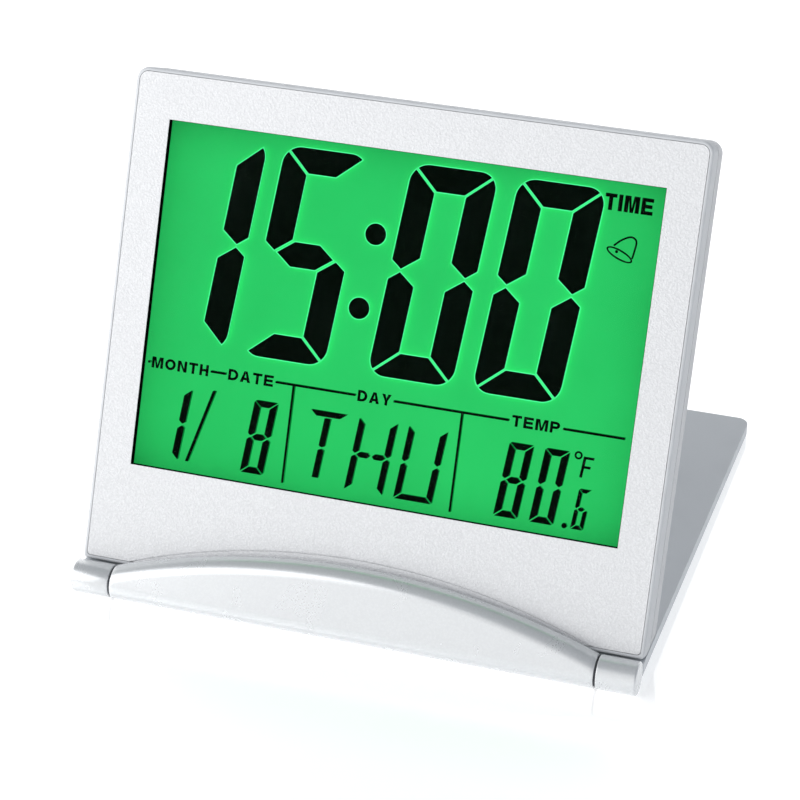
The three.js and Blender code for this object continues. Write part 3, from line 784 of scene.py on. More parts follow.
GRAINED = SilverPaint(
    "grained_silver_paint", "silver_grain", (0.80, 0.805, 0.82), 0.42, 0.12,
    grain=0.08, grain_scale=2400.0, valley_shade=0.27, flake=0.02,
)
SATIN = SilverPaint(
    "satin_silver_paint", "silver_smooth", (0.64, 0.655, 0.675), 0.5, 0.0, 0.2, flake=0.015
)
# The cover's copy of the smooth silver, darker and bluer than SATIN: its blue-grey is a painted
# reflection, and its darker tone painted shade, for the cover lying in the body's shadow.
COVER_SHADED_PAINT = SilverPaint(
    "cover_silver_shaded_paint", "silver_smooth", (0.54, 0.57, 0.60), 0.36, 0.12, grain=0.002, flake=0.01
)
BRIGHT = SilverPaint(
    "bright_silver_lacquer", "silver_gloss", (0.74, 0.755, 0.77), 0.27, 0.45,
    grain=0.0012, grain_scale=2300.0, valley_shade=0.14, flake=0.012, haze=0.01, coat=0.1,
)
REAR = SilverPaint(
    "rear_silver_paint", "silver_back", (0.60, 0.61, 0.63), 0.5, 0.15,
    grain=0.02, grain_scale=2300.0, valley_shade=0.15,
)
KEYS = Moulded("grey_keys", "button_grey", (0.22, 0.23, 0.245), 0.42)
LENS = ClearPlate("clear_window", "clear_lens", (0.04, 0.08, 0.05), 0.04, veil=0.008)
GLASS = ClearPlate("display_glass", "display", (0.02, 0.2, 0.06), 0.05, veil=0.003)
INK = Moulded(
    "display_black", "display", (0.0015, 0.0025, 0.002), 0.6, specular=0.0, tooth=0.001, spread=0.5
)
HALO = LitFilm(
    "segment_light_line",
    "display",
    (0.15, 0.96, 0.42),
    0.6,
    specular=0.0,
    edge=(0.06, 0.7, 0.25),
    glow=1.0,
)
SHADE = LitFilm(
    "segment_shadow",
    "display",
    (0.004, 0.33, 0.06),
    0.6,
    specular=0.0,
    edge=(0.0, 0.2, 0.03),
    glow=0.9,
)
DIFFUSER = Moulded("milky_guide", "diffuser", (0.8, 0.88, 0.8), 0.45, spread=0.04)
RUBBER = Moulded("dark_rubber", "rubber", (0.04, 0.041, 0.043), 0.75, tooth=0.02, spread=0.25)
RESIN = Moulded("black_resin", "black_resin", (0.012, 0.012, 0.014), 0.4, spread=0.25)
STEEL = Metal("plated_steel", "steel", (0.58, 0.59, 0.6), 0.28, 1.0)
BRASS = Metal("spring_brass", "brass", (0.72, 0.52, 0.24), 0.3, 1.0)
BOARD = BoardFinish("coated_board", "board", (0.035, 0.16, 0.07), 0.4)


# ---- Case --------------------------------------------------------------------------------------
ARCH_SIDES = 900  # sides of the wide rounds that the arched line and the notch are cut with


@dataclass
class DisplayCase:
    """Face panel, front shell and rear shell of the leaning body."""

    pivot: Pivot
    half_width: float = 57.5
    top: float = 101.6
    front: float = 2.0
    split: float = 7.0
    corner: float = 2.5
    foot: float = 0.8
    wall: float = 1.6
    rim: float = 0.7
    shelf_back: float = 4.5
    underside: float = 1.6
    window_half: float = 49.65
    window_low: float = 23.5
    window_top: float = 92.0
    line_width: float = 0.25
    line_depth: float = 0.4
    arch_peak: float = 12.6
    arch_half: float = 49.7
    low: float = field(init=False)

    def __post_init__(self) -> None:
        """Takes the lower edge from the frame."""
        self.low = self.pivot.box("face_plate")[0].z - self.rim - 0.1

    @property
    def arch_radius(self) -> float:
        """Radius of the arched line over the hinge."""
        rise = self.arch_peak - self.low
        return (self.arch_half**2 + rise**2) / (2 * rise)

    def outline_block(self, name: str, inset: float, front: float, back: float) -> bpy.types.Object:
        """A slab of the case's outline with rounded corners.

        Args:
            name: The object's name.
            inset: How far the outline is drawn in.
            front: Depth where it starts.
            back: Depth where it ends.

        Returns:
            The slab.
        """
        half = self.half_width - inset
        middle = (self.low + self.top) / 2
        slab = block(name, (-half, front, self.low + inset), (half, back, self.top - inset))
        for radius, upper in ((max(self.corner - inset, 0.8), True), (self.foot, False)):
            with editing(slab):
                pick_edges(slab, lambda a, b: along(a, b, 1) and (a.z > middle) == upper)
                bpy.ops.mesh.bevel(offset=radius * MM, segments=10, affect="EDGES")
        return slab

    def window_tool(self, lap: float, front: float, back: float) -> bpy.types.Object:
        """A block that cuts the window, larger by a lap all round."""
        half = self.window_half + lap
        return block(
            "window_tool",
            (-half, front, self.window_low - lap),
            (half, back, self.window_top + lap),
        )

    def arch_line_tool(self) -> bpy.types.Object:
        """A thin band along the arch, to cut the line in the face."""
        centre = (0.0, self.front, self.arch_peak - self.arch_radius)
        deep = 2 * self.line_depth
        band = rod("arch_line", centre, self.arch_radius, deep, Axis.Y, ARCH_SIDES)
        cut(
            band,
            rod(
                "arch_core",
                centre,
                self.arch_radius - self.line_width,
                2 * deep,
                Axis.Y,
                ARCH_SIDES,
            ),
        )
        half = self.arch_half - self.rim
        return combine(band, "INTERSECT", block("arch_limit", (-half, 0, 0), (half, 4, 20)))

    def face_panel(self) -> None:
        """Grained panel with the window and the arched line."""
        panel = self.outline_block("face_panel", self.rim + 0.1, self.front, self.front + 1.2)
        cut(panel, self.window_tool(0.0, 0.0, 8.0), self.arch_line_tool())
        soften(panel, 0.1)
        mark_edges(panel)
        spread_normals(panel)
        place(panel, self.pivot, "clock_body", GRAINED, ["face_plate"])

    def window_liner(self) -> None:
        """Thin black lining on the window's walls, behind the panel's front edge, which makes the
        walls dark.
        """
        front, back, thick = self.front + 0.12, self.front + 1.27, 0.09
        half, low, top = self.window_half, self.window_low, self.window_top
        liner = block("window_liner", (-half, front, low), (half, back, top))
        with editing(liner):
            pick_faces(liner, lambda c, n: abs(n.y) > 0.9)
            bpy.ops.mesh.inset(thickness=thick * MM)
            bpy.ops.mesh.bridge_edge_loops()
        place(liner, self.pivot, "clock_body", INK)

    def front_shell(self) -> None:
        """Front moulding: the smooth rim, the side walls and the shelf behind the panel."""
        shell = self.outline_block("front_shell", 0.0, self.front, self.split)
        with editing(shell):
            pick_edges(shell, lambda a, b: a.y < self.front + 0.01 and b.y < self.front + 0.01)
            bpy.ops.mesh.bevel(offset=0.6 * MM, segments=4, affect="EDGES")
        cavity = self.outline_block("cavity", self.wall, self.shelf_back - 0.1, self.split + 2)
        trim_level(cavity, self.pivot, self.underside + self.wall)
        cut(
            shell,
            self.outline_block("panel_seat", self.rim, 0.0, self.front + 1.25),
            self.window_tool(1.6, 0.0, self.shelf_back),
            cavity,
        )
        trim_level(shell, self.pivot, self.underside)
        mark_edges(shell)
        spread_normals(shell)
        place(shell, self.pivot, "clock_body", SATIN, ["front_case"])

    def rear_shell(self) -> None:
        """Rear moulding, smoothed from the frame's own solid."""
        shell = copy_of(frame["nodes"]["rear_case"], "rear_shell", (0, 0, 0))
        for key in list(shell.keys()):
            del shell[key]
        shell.parent = None
        shell.data.transform(self.pivot.matrix.inverted())
        with editing(shell):
            bpy.ops.mesh.select_all(action="SELECT")
            bpy.ops.mesh.remove_doubles(threshold=0.001 * MM)
            bpy.ops.mesh.dissolve_limited(angle_limit=math.radians(0.6))
        mark_edges(shell)
        spread_normals(shell, 36.0)
        place(shell, self.pivot, "clock_body", REAR, ["rear_case"])

    def build(self) -> None:
        """Makes the three mouldings."""
        self.face_panel()
        self.window_liner()
        self.front_shell()
        self.rear_shell()


# ---- Hinge -------------------------------------------------------------------------------------
@dataclass
class HingeBow:
    """The arched knuckle that stands in front of the face and carries the hinge."""

    pivot: Pivot
    radius: float = 3.35
    half: float = 49.3
    rise: float = 8.05
    face: float = 1.9
    face_low: float = 3.15
    back: float = 2.8
    bore: float = 1.25
    bore_depth: float = 6.1
    stations: int = 100
    end_soft: float = 0.18

    def lift(self, x: float) -> float:
        """How far the upper half is raised at a place along the bow."""
        radius = (self.half**2 + self.rise**2) / (2 * self.rise)
        return self.rise - radius + math.sqrt(max(radius**2 - x**2, 0.0))

    def shaped(self) -> bpy.types.Object:
        """A round rod whose upper half is drawn up into the arch."""
        bow = rod("hinge_bow", (0, 0, 0), self.radius, 2 * self.half, Axis.X, 72)
        with editing(bow):
            pick_edges(bow, lambda a, b: along(a, b, 0))
            bpy.ops.mesh.subdivide(number_cuts=self.stations)
            pitch = 2 * self.half / (self.stations + 1)
            for number in range(self.stations + 2):
                row = number * pitch - self.half
                pick_points(bow, lambda p: abs(p.x - row) < pitch / 3 and p.z > -0.01)
                bpy.ops.transform.translate(value=(0, 0, self.lift(row) * MM))
            pick_edges(
                bow,
                lambda a,
                b: min(abs(a.x), abs(b.x)) > self.half - 0.01 and abs(a.x - b.x) < 0.01,
            )
            bpy.ops.mesh.bevel(offset=self.end_soft * MM, segments=2, affect="EDGES")
        return bow

    def build(self) -> None:
        """Shapes the bow and cuts it to the face, the floor and the pins."""
        bow = self.shaped()
        wide = self.half + 5
        tools = [
            block("over_face", (-wide, self.face, self.face_low), (wide, 30, 30)),
            block("behind", (-wide, self.back, -30), (wide, 30, 30)),
        ]
        for side in (-1, 1):
            middle = side * (self.half - self.bore_depth / 2 + 1)
            tools.append(
                rod("pin_bore", (middle, 0, 0), self.bore, self.bore_depth + 2, Axis.X, 48)
            )
        cut(bow, *tools)
        trim_level(bow, self.pivot, -self.radius + 0.001)
        spread_normals(bow, 38.0)
        place(bow, self.pivot, "clock_body", BRIGHT, ["hinge_knuckle"])


@dataclass
class Cover:
    """The flat cover with its end barrels and rubber pads, laid back as the stand."""

    pivot: Pivot
    arch_radius: float
    arch_peak: float = 12.6
    half_width: float = 57.5
    length: float = 101.6
    inner: float = -1.4
    outer: float = 1.2
    corner: float = 2.5
    edge: float = 0.5
    notch_gap: float = 0.4
    barrel_in: float = 49.7
    barrel_radius: float = 3.35
    bore: float = 1.25
    bore_depth: float = 6.0
    tongue: tuple[float, float, float] = (4.8, 8.0, 1.2)
    pad_radius: float = 4.0
    pads: Sequence[Point] = ((-49.0, 24.0), (49.0, 24.0), (-49.0, 93.1), (49.0, 93.1))
    pad_top: float = -1.1
    pad_foot: float = -1.9

    def tongue_block(self, side: int, grow: float) -> bpy.types.Object:
        """The tongue that holds a barrel in the plate, grown for its pocket."""
        width, reach, thick = self.tongue
        middle = side * (self.barrel_in + self.half_width) / 2
        low = (middle - width / 2 - grow, self.barrel_radius - 1, -thick / 2 - grow)
        high = (middle + width / 2 + grow, reach + grow, thick / 2 + grow)
        return block("tongue", low, high)

    def notch_tool(self) -> bpy.types.Object:
        """The arch that clears the bow."""
        centre = (0.0, self.arch_peak - self.arch_radius, 0.0)
        disc = rod("notch", centre, self.arch_radius + self.notch_gap, 10, Axis.Z, ARCH_SIDES)
        limit = block("notch_limit", (-self.barrel_in, -5, -6), (self.barrel_in, 20, 6))
        return combine(disc, "INTERSECT", limit)

    def plate(self) -> None:
        """The plate, with its notch, barrel seats and pad seats."""
        plate = block(
            "stand_plate", (-self.half_width, 0, self.inner), (
                self.half_width, self.length, self.outer
            )
        )
        with editing(plate):
            pick_edges(plate, lambda a, b: along(a, b, 2) and a.y > self.length - 0.1)
            bpy.ops.mesh.bevel(offset=self.corner * MM, segments=12, affect="EDGES")
        cut(plate, self.notch_tool())
        soften(plate, self.edge, 4)
        mark_edges(plate)
        tools = []
        for side in (-1, 1):
            middle = side * (self.barrel_in + self.half_width) / 2
            tools.append(rod("seat", (middle, 0, 0), self.barrel_radius + 0.05, 12, Axis.X, 96))
            tools.append(self.tongue_block(side, 0.1))
        for x, y in self.pads:
            tools.append(
                rod("pad_seat", (x, y, self.inner), self.pad_radius + 0.1, 0.8, Axis.Z, 48)
            )
        cut(plate, *tools)
        spread_normals(plate)
        place(plate, self.pivot, "cover", COVER_SHADED_PAINT, ["cover_plate"])

    def barrel(self) -> bpy.types.Object:
        """The right end barrel, with its pin bore and tongue."""
        long = self.half_width - self.barrel_in
        middle = (self.half_width + self.barrel_in) / 2
        barrel = rod("end_barrel_right", (middle, 0, 0), self.barrel_radius, long, Axis.X, 96)
        with editing(barrel):
            pick_edges(barrel, lambda a, b: min(a.x, b.x) > self.half_width - 0.01)
            bpy.ops.mesh.bevel(offset=0.4 * MM, segments=5, affect="EDGES")
            pick_edges(barrel, lambda a, b: max(a.x, b.x) < self.barrel_in + 0.01)
            bpy.ops.mesh.bevel(offset=0.2 * MM, segments=3, affect="EDGES")
            pick_faces(barrel, lambda c, n: n.x < -0.99)
            bpy.ops.mesh.inset(thickness=(self.barrel_radius - 0.2 - self.bore) * MM)
            bpy.ops.mesh.extrude_region_move(
                TRANSFORM_OT_translate={"value": (self.bore_depth * MM, 0, 0)}
            )
        combine(barrel, "UNION", self.tongue_block(1, 0.0))
        spread_normals(barrel)
        return barrel

    def barrels(self) -> None:
        """Both end barrels, the left one a mirrored copy."""
        right = self.barrel()
        left = copy_of(right, "end_barrel_left", (0, 0, 0))
        left.data.transform(Matrix.Scale(-1, 4, (1, 0, 0)))
        weld(left, 0.001)
        place(left, self.pivot, "cover", BRIGHT, ["cover_barrel_left"])
        place(right, self.pivot, "cover", BRIGHT, ["cover_barrel_right"])

    def rubber_pads(self) -> None:
        """Four rubber pads, one shaped and three copied."""
        first_x, first_y = self.pads[0]
        middle, thick = (self.pad_top + self.pad_foot) / 2, self.pad_top - self.pad_foot
        pad = rod("stand_pad_1", (first_x, first_y, middle), self.pad_radius, thick, Axis.Z, 48)
        with editing(pad):
            pick_edges(pad, lambda a, b: max(a.z, b.z) < self.pad_foot + 0.01)
            bpy.ops.mesh.bevel(offset=0.15 * MM, segments=3, affect="EDGES")
        spread_normals(pad)
        others = [
            copy_of(pad, f"stand_pad_{number}", (x - first_x, y - first_y, 0))
            for number, (x, y) in enumerate(self.pads[1:], 2)
        ]
        for number, made in enumerate([pad, *others], 1):
            place(made, self.pivot, "cover", RUBBER, [f"cover_pad_{number}"])

    def build(self) -> None:
        """Makes the plate, the barrels and the pads."""
        self.plate()
        self.barrels()
        self.rubber_pads()


# ---- Back of the case --------------------------------------------------------------------------
@dataclass
class RearFittings:
    """Keys, snooze bar, battery door and case screws."""

    pivot: Pivot
    back: float = 12.6
    inner: float = 11.0
    proud: float = 0.5
    key_radius: float = 3.4
    key_pitch: float = 18.0
    key_height: float = 78.0
    keys: Sequence[str] = ("mode", "set", "up", "down", "alarm")
    bar_half: Point = (15.0, 2.8)
    bar_height: float = 91.0
    flange: float = 0.9
    head_radius: float = 2.0
    door_groove: float = 0.4

    def dish(self, obj: bpy.types.Object, rim: float, depth: float) -> None:
        """Rounds a key's rim and sinks its top a little."""
        top = self.back + self.proud
        with editing(obj):
            pick_faces(obj, lambda c, n: n.y > 0.99 and c.y > top - 0.01)
            bpy.ops.mesh.inset(thickness=rim * MM)
            bpy.ops.mesh.extrude_region_move(TRANSFORM_OT_translate={"value": (0, -depth * MM, 0)})
            bpy.ops.mesh.inset(thickness=rim * MM)
            pick_edges(obj, lambda a, b: min(a.y, b.y) > top - 0.01)
            bpy.ops.mesh.bevel(offset=0.14 * MM, segments=3, affect="EDGES")

    @staticmethod
    def join_flange(key: bpy.types.Object, flange: bpy.types.Object) -> None:
        """Joins a key to the flange that holds it in the case, and smooths both."""
        combine(key, "UNION", flange)
        mark_edges(key)
        spread_normals(key)

    @property
    def key_span(self) -> Point:
        """Depth where the keys start inside the case, and where they end outside it."""
        return self.inner - 0.8, self.back + self.proud

    def key(self) -> bpy.types.Object:
        """The leftmost round key with its flange."""
        x = -2 * self.key_pitch
        low, high = self.key_span
        middle, radius = (x, (low + high) / 2, self.key_height), self.key_radius
        key = rod("key_mode", middle, radius, high - low, Axis.Y, 64)
        self.dish(key, 0.7, 0.16)
        foot = (x, low + 0.35, self.key_height)
        flange = rod("flange", foot, radius + self.flange, 0.7, Axis.Y, 64)
        self.join_flange(key, flange)
        return key

    def round_keys(self) -> None:
        """Five round keys from one."""
        first = self.key()
        others = [
            copy_of(first, f"key_{name}", (number * self.key_pitch, 0, 0))
            for number, name in enumerate(self.keys[1:], 1)
        ]
        for made, name in zip([first, *others], self.keys):
            place(made, self.pivot, f"button_{name}", KEYS, [f"button_{name}"])

    def snooze_bar(self) -> None:
        """The long snooze and light bar."""
        half_x, half_z = self.bar_half
        low, high = self.key_span
        bar = block(
            "snooze_bar",
            (-half_x, low, self.bar_height - half_z),
            (half_x, high, self.bar_height + half_z),
        )
        round_corners(bar, 1, half_z - 0.02, 14)
        self.dish(bar, 0.6, 0.14)
        grow = self.flange
        flange = block(
            "flange",
            (-half_x - grow, low, self.bar_height - half_z - grow),
            (half_x + grow, low + 0.7, self.bar_height + half_z + grow),
        )
        round_corners(flange, 1, half_z + grow - 0.02, 14)
        self.join_flange(bar, flange)
        place(bar, self.pivot, "button_snooze_light", KEYS, ["button_snooze_light"])

    def door(self) -> None:
        """The battery door with its thumb grooves."""
        low, high = self.pivot.box("battery_door")
        door = block("battery_hatch", low, high)
        round_corners(door, 1, 2.0, 8)
        middle = (low.x + high.x) / 2
        grooves = []
        for step in range(3):
            base = high.z - 4.5 - step * 1.8
            start = (middle - 5, high.y - self.door_groove, base)
            grooves.append(block("groove", start, (middle + 5, high.y + 1, base + 0.9)))
        cut(door, *grooves)
        soften(door, 0.14, 3)
        mark_edges(door)
        spread_normals(door)
        place(door, self.pivot, "battery_door", REAR, ["battery_door"])

    def screws(self) -> None:
        """Four cross-head screws, one shaped and three copied."""
        boxes = [self.pivot.box(f"case_screw_{number}") for number in range(1, 5)]
        spots = [(low + high) / 2 for low, high in boxes]
        low, high = boxes[0]
        x, z = spots[0].x, spots[0].z
        screw = rod("head_screw_1", (x, high.y - 0.5, z), self.head_radius, 1.0, Axis.Y, 48)
        soften(screw, 0.25, 3)
        shank = rod(
            "shank", (x, (low.y + high.y - 0.5) / 2, z), 0.95, high.y - 0.5 - low.y, Axis.Y, 24
        )
        combine(screw, "UNION", shank)
        cut(
            screw,
            block("slot", (x - 1.25, high.y - 0.6, z - 0.24), (x + 1.25, high.y + 1, z + 0.24)),
            block("slot", (x - 0.24, high.y - 0.6, z - 1.25), (x + 0.24, high.y + 1, z + 1.25)),
        )
        spread_normals(screw)
        others = [
            copy_of(
                screw, f"head_screw_{number}", spots[number - 1] - spots[0]
            ) for number in range(2, 5)
        ]
        for number, made in enumerate([screw, *others], 1):
            place(made, self.pivot, "clock_body", STEEL, [f"case_screw_{number}"])

    def build(self) -> None:
        """Makes all that shows on the back."""
        self.round_keys()
        self.snooze_bar()
        self.door()
        self.screws()


# ---- Display art -------------------------------------------------------------------------------
def inset_loop(loop: Loop, amount: float) -> Loop:
    """Draws a convex outline in by an amount.

    Args:
        loop: Its corners, anticlockwise.
        amount: How far each side moves inwards, or outwards where it is negative.

    Returns:
        The new corners.
    """
    made: Loop = []
    count = len(loop)
    for index in range(count):
        before, here, after = (Vector(loop[(index + step) % count]) for step in (-1, 0, 1))
        first, second = (here - before).normalized(), (after - here).normalized()
        normal = Vector((-first.y, first.x)) + Vector((-second.y, second.x))
        reach = normal * (amount * 2 / normal.length_squared)
        made.append(tuple(here + reach))
    return made


@dataclass(frozen=True)
class DigitStyle:
    """Proportions of a leaning digit made of seven segments, in millimetres."""

    width: float
    height: float
    upright: float
    beam: float
    corner: float
    tip: float
    gap: float
    lean: float = 0.097

    def flipped(self, loop: Loop) -> Loop:
        """A loop of the upper half, mirrored into the lower half."""
        return [(x, self.height - y) for x, y in reversed(loop)]

    def cells(self) -> dict[str, Loop]:
        """Outline of each segment up to the middle of the gaps, anticlockwise and upright."""
        half_gap = self.gap / 2
        width, height, middle = self.width, self.height, self.height / 2
        out_left = -half_gap
        in_left, in_right = self.upright + half_gap, width - self.upright - half_gap
        beam_top = height - self.beam - half_gap
        mid_rise = self.beam / 2 + half_gap
        near, far = self.tip * 0.85, mid_rise
        radius = self.corner + half_gap
        centre = Vector((self.corner, height - self.corner))
        turn = [
            tuple(centre + radius * Vector((math.cos(angle), math.sin(angle))))
            for angle in (math.radians(90 + 90 * step / 10) for step in range(11))
        ]
        top_arc, side_arc = turn[:6], turn[5:]
        side = [
            (out_left, middle + near),
            (self.tip, middle),
            (in_left, middle + far),
            (in_left, beam_top),
            *side_arc,
        ]
        mirrored = [(width - x, y) for x, y in reversed(top_arc)]
        top = [(in_left, beam_top), (in_right, beam_top), *mirrored, *top_arc]
        bridge = [
            (self.tip + half_gap, middle),
            (in_left + half_gap, middle - mid_rise),
            (in_right - half_gap, middle - mid_rise),
            (width - self.tip - half_gap, middle),
            (in_right - half_gap, middle + mid_rise),
            (in_left + half_gap, middle + mid_rise),
        ]
        left_right = [(width - x, y) for x, y in reversed(side)]
        return {
            "a": top,
            "b": left_right,
            "c": self.flipped(left_right),
            "d": self.flipped(top),
            "e": self.flipped(side),
            "f": side,
            "g": bridge,
            **self.letter_cells(middle, mid_rise, beam_top),
        }

    def letter_cells(self, middle: float, rise: float, beam_top: float) -> dict[str, Loop]:
        """The extra segments that letters need: a middle stem and a bridge in two halves."""
        half_gap = self.gap / 2
        centre, bar = self.width / 2, self.upright / 2
        left, right = centre - bar - half_gap, centre + bar + half_gap
        stem = [
            (left, middle + self.tip * 0.6),
            (centre, middle),
            (right, middle + self.tip * 0.6),
            (right, beam_top),
            (left, beam_top),
        ]
        inner = self.upright + self.gap
        half_bridge = [
            (self.tip + half_gap, middle),
            (inner, middle - rise),
            (centre - rise, middle - rise),
            (centre, middle),
            (centre - rise, middle + rise),
            (inner, middle + rise),
        ]
        return {
            "i": stem,
            "l": [(x, 2 * middle - y) for x, y in reversed(stem)],
            "g1": half_bridge,
            "g2": [(self.width - x, y) for x, y in reversed(half_bridge)],
        }

    def shown(self, segments: Sequence[str], x: float, y: float, inset: float) -> list[Loop]:
        """The lit segments of one digit.

        Args:
            segments: The letters of the segments that are lit.
            x: Left end of the digit's foot.
            y: Height of its foot.
            inset: How far each outline is drawn in from the middle of the gaps.

        Returns:
            One outline for each lit segment, leaning and in place.
        """
        cells = self.cells()
        loops = [inset_loop(cells[name], inset) for name in segments]
        return [[(x + px + self.lean * py, y + py) for px, py in loop] for loop in loops]


SEGMENTS: dict[str, tuple[str, ...]] = {
    "0": ("a", "b", "c", "d", "e", "f"),
    "1": ("b", "c"),
    "5": ("a", "f", "g", "c", "d"),
    "6": ("a", "f", "g", "e", "c", "d"),
    "8": ("a", "b", "c", "d", "e", "f", "g"),
    "T": ("a", "i", "l"),
    "H": ("f", "e", "b", "c", "g1", "g2"),
    "U": ("f", "e", "b", "c", "d"),
}


@dataclass(frozen=True)
class Sign:
    """One digit or letter: what it shows, in which style, and where its foot stands."""

    shows: str
    style: DigitStyle
    x: float
    y: float


@dataclass(frozen=True)
class Legend:
    """A printed word in plain bold capitals: its middle, its width, its height and its stroke."""

    word: str
    x: float
    y: float
    width: float
    height: float
    stroke: float
    gap: float = 0.42
    lean: float = 0.0

    WIDTHS = {"I": 0.0, "M": 1.28, "O": 1.2, "N": 1.05, "D": 1.06, "A": 1.12, "Y": 1.05}

    def letter(self, mark: str, wide: float) -> list[Loop]:
        """The outlines of one capital, with its foot at the left of the line.

        Args:
            mark: The capital.
            wide: How wide it is.

        Returns:
            Its outline, and the outline of its hole where it has one.
        """
        w, h, s = wide, self.height, self.stroke
        c, m, b = w / 2, h / 2, s * 0.9

        def leg(y: float) -> float:
            """How far out the slanting leg's inner side is at a height."""
            return 1.15 * s + (c - 1.15 * s) * y / (0.82 * h)

        bar, low = h * 0.2, h * 0.4
        shapes: dict[str, list[Loop]] = {
            "I": [[(0, 0), (s, 0), (s, h), (0, h)]],
            "T": [
                [
                    *((0, h - b), (c - s / 2, h - b), (c - s / 2, 0), (c + s / 2, 0)),
                    *((c + s / 2, h - b), (w, h - b), (w, h), (0, h)),
                ]
            ],
            "H": [
                [
                    *((0, 0), (s, 0), (s, m - b / 2), (w - s, m - b / 2), (w - s, 0), (w, 0)),
                    *((w, h), (w - s, h), (w - s, m + b / 2), (s, m + b / 2), (s, h), (0, h)),
                ]
            ],
            "E": [
                [
                    *((0, 0), (w, 0), (w, b), (s, b), (s, m - b / 2)),
                    *((0.93 * w, m - b / 2), (0.93 * w, m + b / 2), (s, m + b / 2)),
                    *((s, h - b), (w, h - b), (w, h), (0, h)),
                ]
            ],
            "F": [
                [
                    *((0, 0), (s, 0), (s, m - b / 2), (0.85 * w, m - b / 2), (0.85 * w, m + b / 2)),
                    *((s, m + b / 2), (s, h - b), (w, h - b), (w, h), (0, h)),
                ]
            ],
            "M": [
                [
                    *((0, 0), (s, 0), (s, 0.74 * h), (c - 0.42 * s, 0), (c + 0.42 * s, 0)),
                    *((w - s, 0.74 * h), (w - s, 0), (w, 0), (w, h), (w - 1.45 * s, h)),
                    *((c, 0.27 * h), (1.45 * s, h), (0, h)),
                ]
            ],
            "N": [
                [
                    *((0, 0), (s, 0), (s, 0.68 * h), (w - 1.1 * s, 0), (w, 0)),
                    *((w, h), (w - s, h), (w - s, 0.32 * h), (1.1 * s, h), (0, h)),
                ]
            ],
            "A": [
                [
                    *((0, 0), (1.15 * s, 0), (leg(bar), bar), (w - leg(bar), bar)),
                    *((w - 1.15 * s, 0), (w, 0), (c + 0.58 * s, h), (c - 0.58 * s, h)),
                ],
                [(leg(bar + b), bar + b), (w - leg(bar + b), bar + b), (c, 0.8 * h)],
            ],
            "Y": [
                [
                    *((c - s / 2, 0), (c + s / 2, 0), (c + s / 2, low), (w, h), (w - 1.2 * s, h)),
                    *((c, 0.6 * h), (1.2 * s, h), (0, h), (c - s / 2, low)),
                ]
            ],
            "O": [self.bow(c, m, c, m, -90, 270), self.bow(c, m, c - s, m - b, -90, 270)],
            "D": [
                [(0, 0), *self.bow(0.42 * w, m, 0.58 * w, m, -90, 90), (0, h)],
                [(s, b), *self.bow(0.42 * w, m, 0.58 * w - s, m - b, -90, 90), (s, h - b)],
            ],
            "P": [
                [
                    *((0, 0), (s, 0), (s, 0.36 * h)),
                    *self.bow(0.55 * w, 0.68 * h, 0.45 * w, 0.32 * h, -90, 90),
                    (0, h),
                ],
                [
                    (s, 0.36 * h + b),
                    *self.bow(0.55 * w, 0.68 * h, 0.45 * w - s, 0.32 * h - b, -90, 90),
                    (s, h - b),
                ],
            ],
        }
        return shapes[mark]

    @staticmethod
    def bow(x: float, y: float, wide: float, tall: float, start: float, end: float) -> Loop:
        """Points along a part of an ellipse, from one angle to another in degrees."""
        angles = [math.radians(start + (end - start) * step / 20) for step in range(21)]
        loop = [(x + wide * math.cos(angle), y + tall * math.sin(angle)) for angle in angles]
        return loop[:-1] if end - start == 360 else loop

    def loops(self) -> list[Loop]:
        """The whole word's outlines, spread over its width."""
        shares = [self.WIDTHS.get(mark, 1.0) for mark in self.word]
        fixed = self.gap * (len(shares) - 1) + self.stroke * self.word.count("I")
        unit = (self.width - fixed) / sum(shares)
        x, foot = self.x - self.width / 2, self.y - self.height / 2
        made: list[Loop] = []
        for mark, share in zip(self.word, shares):
            wide = share * unit or self.stroke
            for loop in self.letter(mark, wide):
                made.append([(x + px + self.lean * py, foot + py) for px, py in loop])
            x += wide + self.gap
        return made


BIG = DigitStyle(17.1, 41.7, 5.4, 4.9, 3.5, 2.1, 0.5)
SMALL = DigitStyle(4.8, 14.6, 1.42, 1.25, 0.5, 0.62, 0.26, 0.1)
WORD = DigitStyle(7.8, 14.6, 1.3, 1.1, 0.25, 0.6, 0.26, 0.1)
TINY = DigitStyle(2.5, 7.9, 0.78, 0.75, 0.25, 0.32, 0.2, 0.1)


